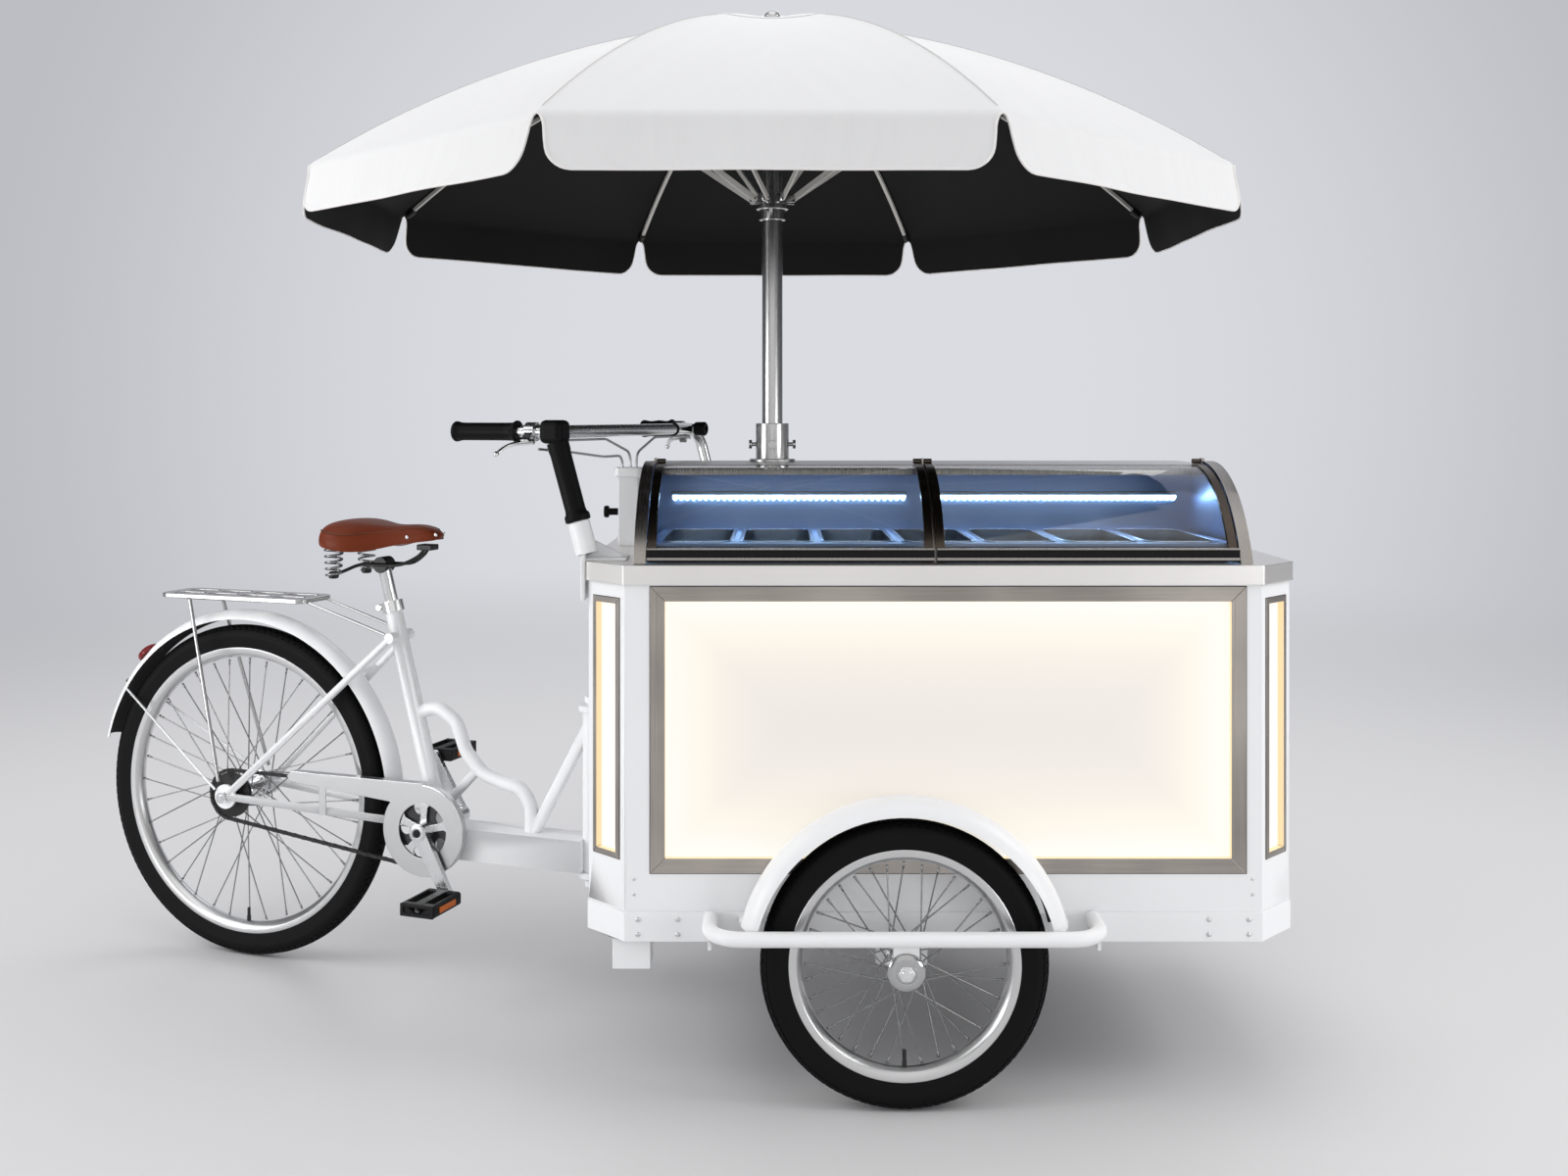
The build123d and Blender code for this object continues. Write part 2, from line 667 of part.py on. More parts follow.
# Guard rails: bent tubes round the wheels with an axle bracket and end gussets
bracket_half = 22.0
gusset_half = 3.0
gusset_length = 60.0
gusset_span = (rail_z - 36.0, rail_z - 10.0)
with BuildPart() as guard_rails:
    for side, wall_y in ((-1, near_y), (1, far_y)):
        inner_y = wall_y + side * rim_proud
        outer_y = wall_y + side * rail_reach
        rear_x = front_axle_x - rail_half_length + rail_diameter / 2
        front_x = front_axle_x + rail_half_length - rail_diameter / 2
        corners = ((rear_x, inner_y), (rear_x, outer_y), (front_x, outer_y), (front_x, inner_y))
        bent_tube([(x, y, rail_z) for x, y in corners], rail_bend, rail_diameter)
        eye = axle_point(side, bracket_reach)
        eye_end = axle_point(side, bracket_reach + bracket_plate)
        low_y, high_y = sorted((eye.Y, eye_end.Y))
        block((front_axle_x - bracket_half, low_y, eye.Z), (front_axle_x + bracket_half, high_y, rail_z))
        rod(eye, eye_end, 2 * bracket_half)
        rod(eye, eye_end, 2 * (front_axle_radius + running_gap), Mode.SUBTRACT)
        for end_x in (rear_x, front_x):
            gusset_y = sorted((inner_y, inner_y + side * gusset_length))
            block((end_x - gusset_half, gusset_y[0], gusset_span[0]),
                  (end_x + gusset_half, gusset_y[1], gusset_span[1]))
save(guard_rails, "guard_rails")


def guard_shell(center, axle, crown, half_width, drop, start, end):
    """Arched mudguard sheet about an axle, from one angle to the other, counted from the back."""
    back = axle.cross(Vector(0, 0, 1))
    radial = back * cos(radians(start)) + Vector(0, 0, 1) * sin(radians(start))
    lip = crown - drop
    with BuildSketch(Plane(center, x_dir=radial, z_dir=radial.cross(axle))) as section:
        with BuildLine():
            ThreePointArc((lip, -half_width), (crown, 0), (lip, half_width))
            Line((lip, half_width), (lip, half_width - 2))
            ThreePointArc((lip, half_width - 2), (crown - 2, 0), (lip, 2 - half_width))
            Line((lip, 2 - half_width), (lip, -half_width))
        make_face()
    revolve(section.sketch, axis=Axis(center, axle * -1), revolution_arc=end - start)


# Front mudguards with tabs to the chassis rim
tab_reach = (256.0, 283.0)
tab_thickness = 6.0
tab_end = 8.0
with BuildPart() as front_mudguards:
    for side, wall_y in ((-1, near_y), (1, far_y)):
        wheel_y = box_center_y + side * front_track / 2
        guard_shell(Vector(front_axle_x, wheel_y, front_tyre_radius), Vector(0, -1, 0), guard_radius,
                    guard_half_width, guard_drop, guard_start, 180 - guard_start)
        tab_y = sorted((wall_y + side * rim_proud, wheel_y - side * tab_end))
        for way in (-1, 1):
            tab_x = sorted(front_axle_x + way * reach for reach in tab_reach)
            block((tab_x[0], tab_y[0], rim_top - tab_thickness), (tab_x[1], tab_y[1], rim_top))
save(front_mudguards, "front_mudguards")

# Rear frame: head tube, beam, loop tube, head strut, seat tube, stays, dropouts, axle and bottom bracket
seat_foot = crank_axle(0)
seat_head = bike(seat_tube_top_t, 0, seat_tube_top_z)
seat_axis = (seat_head - seat_foot).normalized()


def seat_point(z):
    """Point of the seat tube's axis at a height."""
    return seat_foot + seat_axis * ((z - crank_z) / seat_axis.Z)


head_tube_diameter = 40.0
head_tube_gap = 0.5
beam_start = (12.0, 301.0)
beam_size = (70.0, 64.0)
beam_length = 330.0
beam_wall = 3.5
beam_wall_start = 28.0
bracket_diameter = 46.0
bracket_half_width = 40.0
crank_axle_radius = 12.0
seat_tube_diameter = 36.0
seat_collar_height = 22.0
seat_bore_span = (600.0, 830.0)
bridge_z = 716.0
bridge_t = crank_t + (seat_tube_top_t - crank_t) * (bridge_z - crank_z) / (seat_tube_top_z - crank_z)
brake_bridge = (540.0, 640.0)
stay_diameter = 16.0
axle_nut_w = 92.0
loop_diameter = 28.0
loop_bend = 40.0
loop_points = ((411, 557), (360, 573), (316, 546), (293, 485), (253, 442), (204, 426), (160, 419),
               (139, 382), (139, 325))
plain_tubes = (((345, 365), (262, 452), 20.0), ((133, 330), (10, 555), 25.0))
with BuildPart() as rear_frame:
    head_low = (steer_x, box_center_y, lug_low[1] + head_tube_gap)
    head_high = (steer_x, box_center_y, lug_high[0] - head_tube_gap)
    rod(head_low, head_high, head_tube_diameter)
    with BuildSketch(Plane(bike(beam_start[0], 0, beam_start[1]), x_dir=bike_right, z_dir=bike_back)):
        Rectangle(*beam_size)
    extrude(amount=beam_length)
    with BuildSketch(Plane(bike(beam_wall_start, 0, beam_start[1]), x_dir=bike_right, z_dir=bike_back)):
        Rectangle(beam_size[0] - 2 * beam_wall, beam_size[1] - 2 * beam_wall)
    extrude(amount=beam_length - 40, mode=Mode.SUBTRACT)
    rod(crank_axle(-bracket_half_width), crank_axle(bracket_half_width), bracket_diameter)
    rod(seat_foot, seat_head, seat_tube_diameter)
    rod(seat_point(seat_tube_top_z - seat_collar_height), seat_head, seat_tube_diameter + 10)
    bent_tube([bike(t, 0, z) for t, z in loop_points], loop_bend, loop_diameter)
    for start, end, diameter in plain_tubes:
        rod(bike(start[0], 0, start[1]), bike(end[0], 0, end[1]), diameter)
    rod(bike(bridge_t, -40, bridge_z), bike(bridge_t, 40, bridge_z), 22)
    rod(bike(brake_bridge[0], -41, brake_bridge[1]), bike(brake_bridge[0], 41, brake_bridge[1]), 12)
    for side in (-1, 1):
        dropout = rear_axle(side * dropout_w)
        rod(bike(crank_t + 16, side * 36, crank_z + 3), dropout, stay_diameter)
        rod(bike(bridge_t, side * 32, bridge_z), dropout, stay_diameter)
        rod(rear_axle(side * (dropout_w - 3)), rear_axle(side * (dropout_w + 3)), 52)
        rod(rear_axle(side * axle_nut_w), rear_axle(side * (dropout_w + 3)), 24)
    rod(rear_axle(-axle_nut_w - 4), rear_axle(axle_nut_w + 4), 2 * rear_axle_radius)
    rod(rear_axle(60.5), rear_axle(dropout_w), 20)
    rod(rear_axle(-44.5), rear_axle(-dropout_w), 20)
    rod(crank_axle(-45), crank_axle(45), 2 * (crank_axle_radius + running_gap), Mode.SUBTRACT)
    rod(seat_point(seat_bore_span[0]), seat_point(seat_bore_span[1]), 2 * (seat_post_radius + running_gap),
        Mode.SUBTRACT)
    rod(head_low, head_high, 2 * (steer_pin_radius + running_gap), Mode.SUBTRACT)
save(rear_frame, "rear_frame")

# Rear wheel with its sprocket
rear_center = rear_axle(0)
chainring_radius = chain_pitch / (2 * sin(pi / chainring_teeth))
sprocket_radius = chain_pitch / (2 * sin(pi / sprocket_teeth))
tooth_gap = chain_half_height + 0.3
rear_hub = ((20.0, -44.0, 60.0), (36.0, -34.0, -30.0), (36.0, 30.0, 34.0),
            (sprocket_radius - tooth_gap, chain_w - 2.0, chain_w + 2.0))
save(tyre(rear_center, bike_right, rear_tyre_radius, rear_tyre_width), "rear_tyre")
rear_bead = rear_tyre_radius - bead_depth
rear_wheel = spoked_wheel(rear_center, bike_right, rear_bead, rear_hub, rear_axle_radius, (32.0, 32.0))
save(rear_wheel, "rear_wheel")

# Rear mudguard with wire stays and a bridge tab
rear_guard_radius = 395.0
rear_guard_half_width = 28.0
rear_guard_drop = 20.0
rear_guard_span = (14, 178)
stay_angle = radians(33)
stay_reach = rear_guard_radius - 15.0
with BuildPart() as rear_mudguard:
    guard_shell(rear_center, bike_right, rear_guard_radius, rear_guard_half_width, rear_guard_drop,
                *rear_guard_span)
    for side in (-1, 1):
        stay_t = rear_axle_t + stay_reach * cos(stay_angle)
        stay_z = rear_tyre_radius + stay_reach * sin(stay_angle)
        rod(bike(rear_axle_t + 22, side * 81.5, rear_tyre_radius + 14), bike(stay_t, side * 25, stay_z), 5)
save(rear_mudguard, "rear_mudguard")

# Luggage rack: slotted platform on two legs and two front stays
rack_middle_t = 851.0
rack_length = 384.0
rack_width = 112.0
rack_plate = 10.0
rack_slot = (78.0, 30.0)
rack_slot_pitch = (88.0, 46.0)
rack_leg = ((962.0, 50.0), (856.0, 82.5))
rack_stay = (671.0, 34.0)
with BuildPart() as luggage_rack:
    with BuildSketch(Plane(bike(rack_middle_t, 0, rack_top), x_dir=bike_back, z_dir=(0, 0, 1))):
        RectangleRounded(rack_length, rack_width, 24)
        with GridLocations(*rack_slot_pitch, 4, 2):
            SlotOverall(*rack_slot, mode=Mode.SUBTRACT)
    extrude(amount=-rack_plate)
    for side in (-1, 1):
        (leg_t, leg_w), (foot_t, foot_w) = rack_leg
        stay_t, stay_w = rack_stay
        middle_z = rack_top - rack_plate / 2
        rod(bike(leg_t, side * leg_w, middle_z), bike(foot_t, side * foot_w, rear_tyre_radius + 32), 8)
        rod(bike(stay_t, side * stay_w, middle_z), bike(bridge_t + 11.5, side * stay_w, bridge_z + 6), 6)
save(luggage_rack, "luggage_rack")

# Chain case: ring-shaped plate with an arm over the upper run, a front wall and a bracket to the stay
case_radius = 93.0
case_hole = 56.0
case_sheet = 2.0
case_plate_w = chain_w + 10.0
case_wall_w = chain_w - 8.0
arm_end_t = 680.0
arm_low_z = 399.0
arm_high_z = 427.0
case_bracket = ((600.0, 374.0), (18.0, 66.0))
arm_outline = ((crank_t, crank_z), (crank_t, arm_high_z), (arm_end_t, arm_high_z),
               (arm_end_t + 9, arm_low_z + 17), (arm_end_t, arm_low_z + 6), (crank_t + 70, arm_low_z - 16))
with BuildPart() as chain_case:
    with BuildSketch(bike_side(case_plate_w)):
        with Locations((crank_t, crank_z)):
            Circle(case_radius)
        with BuildLine():
            Polyline(*arm_outline, close=True)
        make_face()
        with Locations((crank_t, crank_z)):
            Circle(case_hole, mode=Mode.SUBTRACT)
        with Locations(case_bracket[0]):
            Rectangle(*case_bracket[1])
    extrude(amount=-case_sheet)
    with BuildSketch(bike_side(case_wall_w)):
        with Locations((crank_t, crank_z)):
            Circle(case_radius)
            Circle(case_radius - case_sheet, mode=Mode.SUBTRACT)
        with Locations((crank_t + 60, crank_z)):
            Rectangle(120, 220, mode=Mode.SUBTRACT)
        with Locations(((crank_t + arm_end_t) / 2, arm_high_z - case_sheet / 2)):
            Rectangle(arm_end_t - crank_t, case_sheet)
    extrude(amount=case_wall_w - case_plate_w)
save(chain_case, "chain_case")

# Chain: closed band along the pitch line of both sprockets
with BuildPart() as chain:
    for grow, mode in ((chain_half_height, Mode.ADD), (-chain_half_height, Mode.SUBTRACT)):
        with BuildSketch(bike_side(chain_w + 3)):
            with Locations((crank_t, crank_z)):
                Circle(chainring_radius + grow)
            with Locations((rear_axle_t, rear_tyre_radius)):
                Circle(sprocket_radius + grow)
            make_hull()
        extrude(amount=6, mode=mode)
save(chain, "chain")

# Crankset: axle, chainring, two arms and the pedal spindles
arm_low_w = 74.0
arm_high_w = 86.0
spindle_end_w = 188.0
spindle_radius = 6.0
ring_half = 2.0
ring_holes = (46.0, 13.0, 5)
boss_diameter = 38.0
arm_end_radii = (17.0, 12.0)
with BuildPart() as crankset:
    rod(crank_axle(-arm_high_w - 2), crank_axle(arm_high_w + 2), 2 * crank_axle_radius)
    rod(crank_axle(chain_w - ring_half), crank_axle(chain_w + ring_half), 2 * (chainring_radius - tooth_gap))
    with BuildSketch(bike_side(chain_w + 2 * ring_half)):
        with Locations((crank_t, crank_z)):
            with PolarLocations(ring_holes[0], ring_holes[2]):
                Circle(ring_holes[1])
    extrude(amount=4 * ring_half, mode=Mode.SUBTRACT)
    for side in (-1, 1):
        pedal_t = crank_t + side * crank_fall[0]
        pedal_z = crank_z + side * crank_fall[1]
        rod(crank_axle(side * 45), crank_axle(side * arm_high_w), boss_diameter)
        with BuildSketch(bike_side(side * arm_low_w)):
            with Locations((crank_t, crank_z)):
                Circle(arm_end_radii[0])
            with Locations((pedal_t, pedal_z)):
                Circle(arm_end_radii[1])
            make_hull()
        extrude(amount=-side * (arm_high_w - arm_low_w))
        rod(bike(pedal_t, side * arm_high_w, pedal_z), bike(pedal_t, side * spindle_end_w, pedal_z),
            2 * spindle_radius)
save(crankset, "crankset")

# Pedals: an open cage about a barrel that turns on the spindle
pedal_length = 78.0
pedal_height = 26.0
pedal_inner_w = 90.0
pedal_window = (20.0, 74.0)
for side_name, side in (("right", 1), ("left", -1)):
    pedal_t = crank_t + side * crank_fall[0]
    pedal_z = crank_z + side * crank_fall[1]
    with BuildPart() as pedal:
        with BuildSketch(bike_side(side * pedal_inner_w)):
            with Locations((pedal_t, pedal_z)):
                RectangleRounded(pedal_length, pedal_height, 6)
        extrude(amount=-side * (spindle_end_w - pedal_inner_w))
        middle_w = side * (pedal_inner_w + spindle_end_w) / 2
        with BuildSketch(Plane(bike(pedal_t, middle_w, pedal_z), x_dir=bike_back, z_dir=(0, 0, 1))):
            with GridLocations(2 * pedal_window[0], 0, 2, 1):
                Rectangle(*pedal_window)
        extrude(amount=pedal_height, both=True, mode=Mode.SUBTRACT)
        bore_start = bike(pedal_t, side * (pedal_inner_w - 4), pedal_z)
        bore_end = bike(pedal_t, side * (spindle_end_w + 4), pedal_z)
        rod(bore_start, bore_end, 2 * (spindle_radius + running_gap), Mode.SUBTRACT)
    save(pedal, f"pedal_{side_name}")

# Seat post with its clamp, saddle rails with coil springs, and the saddle body
post_span = (660.0, 862.0)
post_head = seat_point(post_span[1])
clamp_t = (post_head - bike(0, 0, post_span[1])).length
clamp_z = 866.0
clamp_size = (34.0, 17.0)
with BuildPart() as seat_post:
    rod(seat_point(post_span[0]), post_head, 2 * seat_post_radius)
    rod(bike(clamp_t, -clamp_size[1], clamp_z), bike(clamp_t, clamp_size[1], clamp_z), clamp_size[0])
save(seat_post, "seat_post")

spring_t = 578.0
spring_w = 58.0
spring_span = (842.0, 900.0)
spring_diameters = (42.0, 32.0)
rail_w = 21.5
rail_wire = 7.0
rail_nose = (400.0, 884.0)
with BuildPart() as saddle_frame:
    for side in (-1, 1):
        nose = bike(rail_nose[0], side * 8, rail_nose[1])
        rail_front = bike(440, side * rail_w, 868)
        rail_back = bike(540, side * rail_w, 868)
        spring_foot = bike(spring_t, side * spring_w, spring_span[0])
        spring_head = bike(spring_t, side * spring_w, spring_span[1])
        rail_end = spring_foot + Vector(0, 0, 4)
        bent_tube([nose, rail_front, rail_back, rail_end], 20, rail_wire)
        rod(spring_foot, spring_head, spring_diameters[0])
        rod(spring_foot + Vector(0, 0, rail_wire), spring_head, spring_diameters[1], Mode.SUBTRACT)
    rod(bike(rail_nose[0], -12, rail_nose[1]), bike(rail_nose[0], 12, rail_nose[1]), 10)
save(saddle_frame, "saddle_frame")

saddle_middle_t = 520.0
saddle_outline = [(352, 0), (362, 20), (400, 30), (455, 48), (510, 86), (560, 101), (606, 86), (620, 45)]
saddle_levels = ((901.0, 1.0), (938.0, 0.97), (956.0, 0.87), (964.0, 0.68))


def saddle_section(z, scale):
    """Plan outline of the saddle at a height, scaled about its middle."""
    right = [(saddle_middle_t + (t - saddle_middle_t) * scale, w * scale) for t, w in saddle_outline]
    left = [(t, -w) for t, w in reversed(right[1:])]
    with BuildSketch(Plane(bike(0, 0, z), x_dir=bike_back, z_dir=(0, 0, 1))) as section:
        with BuildLine():
            Spline(*right, *left, periodic=True)
        make_face()
    return section.sketch


with BuildPart() as saddle:
    loft([saddle_section(*level) for level in saddle_levels])
save(saddle, "saddle")

# Handlebar: crossbar with a rear grip stub and the far leg, a near leg, a far grip stub, lever clamps
bar_way = (Vector(far_corner) - Vector(near_corner)).normalized()
near_root = Vector(near_corner)
far_joint = Vector(far_corner) - bar_way * 46
far_root = far_joint - bike_back * 23
far_stub = far_joint - bike_back * 36
near_grip_end = near_root + bike_back * grip_length
far_grip_end = far_root + bike_back * far_grip_length
leg_axis = (Vector(near_foot) - Vector(near_corner)).normalized()
leg_length = (Vector(near_foot) - Vector(near_corner)).length + 8
leg_diameter = 27.0
corner_bends = (26.0, 45.0)
lever_out = (bike_right * 0.75 - Vector(0, 0, 1) * 0.66).normalized()
far_lever_out = (bike_right * -0.75 - Vector(0, 0, 1) * 0.66).normalized()
lever_pivot = (45.0, 28.0)
lever_pin_radius = 3.0
clamp_band = (36.0, 56.0)
ear_gap = 4.6


def lever_spot(corner, out, along, reach, rise=0.0):
    """Point beside a grip: along the grip from its corner, out from its axis, and across the lever."""
    return corner + bike_back * along + out * reach + bike_back.cross(out).normalized() * rise


with BuildPart() as handlebar:
    bent_tube([near_grip_end, near_corner, far_corner, far_foot], corner_bends, bar_diameter)
    rod(near_root, near_root + leg_axis * leg_length, leg_diameter)
    rod(far_stub, far_grip_end, bar_diameter - 2)
    for corner, out in ((near_root, lever_out), (far_root, far_lever_out)):
        rod(corner + bike_back * clamp_band[0], corner + bike_back * clamp_band[1], bar_diameter + 11)
        ear_plane = Plane(lever_spot(corner, out, 0, 0, ear_gap), x_dir=bike_back, z_dir=bike_back.cross(out))
        with BuildSketch(ear_plane):
            with Locations((lever_pivot[0], lever_pivot[1] / 2)):
                Rectangle(16, lever_pivot[1] + 12)
        extrude(amount=6)
        pin_start = lever_spot(corner, out, *lever_pivot, -5)
        pin_end = lever_spot(corner, out, *lever_pivot, 6)
        rod(pin_start, pin_end, 2 * lever_pin_radius)
save(handlebar, "handlebar")

# Brake levers: a blade that runs beside the grip and hooks away at its tip
lever_line = ((lever_pivot, 7.5), ((77.0, 37.0), 5.0), ((95.0, 61.0), 4.5))
for side_name, corner, out in (("right", near_root, lever_out), ("left", far_root, far_lever_out)):
    with BuildPart() as brake_lever:
        for first, second in (lever_line[:2], lever_line[1:]):
            with BuildSketch(Plane(corner, x_dir=bike_back, z_dir=bike_back.cross(out))):
                for spot, radius in (first, second):
                    with Locations(spot):
                        Circle(radius)
                make_hull()
            extrude(amount=lever_thickness / 2, both=True)
        rod(lever_spot(corner, out, *lever_pivot, -9), lever_spot(corner, out, *lever_pivot, 9),
            2 * (lever_pin_radius + running_gap), Mode.SUBTRACT)
    save(brake_lever, f"brake_lever_{side_name}")

# Black rubber: grips, leg sleeve and corner block; the cable adjuster knob
post_x = front_axle_x - 516.0
post_half = 20.0
knob_z = 989.0
sleeve_span = (34.0, 156.0, 168.0)
sleeve_diameters = (38.0, 46.0)
corner_block_half = 22.0
with BuildPart() as grips_and_sleeves:
    for corner, start, end in ((near_root, 74, grip_length + 3), (far_root, 60, far_grip_length + 3)):
        rod(corner + bike_back * start, corner + bike_back * end, grip_diameter)
        rod(corner + bike_back * start, corner + bike_back * (start + 5), grip_diameter + 7)
        rod(corner + bike_back * (end - 6), corner + bike_back * end, grip_diameter + 4)
    rod(far_stub - bike_back * 4, far_stub + bike_back * 21, grip_diameter - 4)
    sleeve_start, flange_start, sleeve_end = (near_root + leg_axis * along for along in sleeve_span)
    rod(sleeve_start, sleeve_end, sleeve_diameters[0])
    rod(flange_start, sleeve_end, sleeve_diameters[1])
    with BuildSketch(Plane(near_root - bar_way * corner_block_half, x_dir=bike_back, z_dir=bar_way)):
        RectangleRounded(2 * corner_block_half, 2 * corner_block_half - 2, 10)
    extrude(amount=2 * corner_block_half)
    add(handlebar.part, mode=Mode.SUBTRACT)
    knob_face = Vector(post_x - post_half, box_center_y, knob_z)
    rod(knob_face, knob_face - Vector(28, 0, 0), 14)
    rod(knob_face - Vector(20, 0, 0), knob_face - Vector(30, 0, 0), 24)
save(grips_and_sleeves, "grips_and_sleeves")

# White brackets: near leg socket with its gussets, far leg flange, cable post
post_cap_z = 1078.0
post_cap_height = 18.0
post_cap_size = 56.0
plate = 6.0
edge_x = box_rear_x - counter_overhang
back_x = edge_x - 8.0
foot_y = near_foot[1]
foot_top = near_foot[2] + plate
gusset_outline = ((back_x, counter_top), (edge_x + 70, counter_top), (edge_x + 62, counter_top + 12),
                  (edge_x + 8, foot_top + 14), (back_x, foot_top + 14))
with BuildPart() as handlebar_brackets:
    rod(near_root + leg_axis * (sleeve_span[2] + 0.5), near_root + leg_axis * leg_length, 40)
    block((back_x, foot_y - 16, 850), (edge_x, foot_y + 60, foot_top))
    block((back_x, foot_y - 4, counter_top), (edge_x + 74, foot_y + 60, counter_top + plate))
    with BuildSketch(Plane.XZ.offset(-foot_y - 8)):
        Polygon(*gusset_outline, align=None)
    extrude(amount=-plate)
    rod(Vector(far_foot) - Vector(0, 0, plate), Vector(far_foot), 64)
    block((post_x - post_half, box_center_y - post_half, counter_top),
          (post_x + post_half, box_center_y + post_half, post_cap_z - post_cap_height))
    with BuildSketch(Plane((post_x, box_center_y, post_cap_z - post_cap_height))):
        RectangleRounded(post_cap_size, post_cap_size, 12)
    extrude(amount=post_cap_height)
    add(handlebar.part, mode=Mode.SUBTRACT)
save(handlebar_brackets, "handlebar_brackets")

# Brake cables from both lever clamps, and a third from the corner block, down into the cable post
cable_diameter = 5.0
under_bar = Vector(0, 0, -16)
post_cap = Vector(post_x, box_center_y, post_cap_z)
entries = [post_cap + Vector(*spot, 0) for spot in ((-12, -12), (4, -12), (14, 10))]
near_route = [
    near_root + bike_back * 33 + under_bar * 2,
    near_root + bar_way * 60 + bike_back * 4 - Vector(0, 0, 38),
    post_cap + Vector(-40, -96, 24),
    entries[0] + Vector(0, 0, 24),
    entries[0],
]
corner_route = [
    near_root + bar_way * corner_block_half + under_bar,
    near_root + bar_way * 200 + under_bar,
    entries[1] + Vector(0, 0, 30),
    entries[1],
]
far_route = [
    lever_spot(far_root, far_lever_out, 33, 30),
    far_root - bar_way * 20 + bike_back * 20 + under_bar,
    far_joint - bar_way * 80 + under_bar,
    near_root + bar_way * 420 + under_bar,
    entries[2] + Vector(0, 0, 28),
    entries[2],
]
cable_routes = ((near_route, (40, 80, 20)), (corner_route, (60, 24)), (far_route, (20, 60, 60, 24)))
with BuildPart() as brake_cables:
    for route, bends in cable_routes:
        bent_tube(route, bends, cable_diameter)
save(brake_cables, "brake_cables")


def umbrella_plane(angle, across=0.0):
    """Upright plane through the pole at an angle; x is the radius and y the height."""
    way = Vector(cos(angle), sin(angle), 0)
    side = Vector(sin(angle), -cos(angle), 0)
    return Plane(Vector(pole_x, 0, 0) - side * across, x_dir=way, z_dir=side)


def umbrella_point(angle, radius, z, across=0.0):
    """Point of the umbrella: radius and height at an angle, and a distance across, anticlockwise."""
    x = pole_x + radius * cos(angle) - across * sin(angle)
    y = radius * sin(angle) + across * cos(angle)
    return Vector(x, y, z)


def arc_strip(points, half_height):
    """Sketch face of a strip along an arc through three points."""
    with BuildLine() as outline:
        ThreePointArc(*[(r, z + half_height) for r, z in points])
        Line((points[2][0], points[2][1] + half_height), (points[2][0], points[2][1] - half_height))
        ThreePointArc(*[(r, z - half_height) for r, z in reversed(points)])
        Line((points[0][0], points[0][1] - half_height), (points[0][0], points[0][1] + half_height))
    make_face(outline.edges())


# Umbrella socket: flange and sleeve on the deck with thumbscrews, and the foot cup inside the housing
rib_angles = [radians(22.5 + 45 * index) for index in range(rib_count)]
pole_foot_z = counter_top + 6.0
sleeve_top = 1166.0
sleeve_diameter = 68.0
socket_flange = 94.0
screw_z = deck_z + 36.0
cup_height = 32.0
with BuildPart() as umbrella_socket:
    rod((pole_x, 0, deck_z), (pole_x, 0, deck_z + 6), socket_flange)
    rod((pole_x, 0, deck_z), (pole_x, 0, sleeve_top), sleeve_diameter)
    for angle in (0, 90, 180, 270):
        way = Vector(cos(radians(angle)), sin(radians(angle)), 0)
        screw = Vector(pole_x, 0, screw_z) + way * 26
        rod(screw, screw + way * 20, 8)
        rod(screw + way * 16, screw + way * 22, 18)
    rod((pole_x, 0, counter_top), (pole_x, 0, counter_top + cup_height), sleeve_diameter - 4)
    rod((pole_x, 0, pole_foot_z), (pole_x, 0, sleeve_top + 1), 2 * (pole_radius + running_gap), Mode.SUBTRACT)
save(umbrella_socket, "umbrella_socket")

# Umbrella mast: pole, crown with rib ears and pins, cap and finial
pole_wall = 2.5
pole_top = 1962.0
crown_radius = 25.0
crown_span = (1955.0, 1996.0)
cap_span = (1994.5, 1998.0)
cap_diameter = 72.0
finial_z = 2001.0
finial_radius = 17.0
finial_foot = 48.0
rib_ear = (22.0, 12.0)
with BuildPart() as umbrella_mast:
    rod((pole_x, 0, pole_foot_z), (pole_x, 0, pole_top), 2 * pole_radius)
    rod((pole_x, 0, pole_foot_z), (pole_x, 0, pole_top - 12), 2 * (pole_radius - pole_wall), Mode.SUBTRACT)
    rod((pole_x, 0, crown_span[0]), (pole_x, 0, crown_span[1]), 2 * crown_radius)
    for angle in rib_angles:
        with BuildSketch(umbrella_plane(angle, -rib_half_width - side_gap)):
            with Locations((rib_pivot[0] - 4, rib_pivot[1])):
                Rectangle(*rib_ear)
        extrude(amount=5)
        pin_start = umbrella_point(angle, *rib_pivot, -8)
        pin_end = umbrella_point(angle, *rib_pivot, rib_half_width + 0.4)
        rod(pin_start, pin_end, 2 * pivot_pin_radius)
    rod((pole_x, 0, cap_span[0]), (pole_x, 0, cap_span[1]), cap_diameter)
    rod((pole_x, 0, crown_span[1]), (pole_x, 0, finial_z), finial_foot)
    with Locations((pole_x, 0, finial_z)):
        Sphere(finial_radius)
save(umbrella_mast, "umbrella_mast")

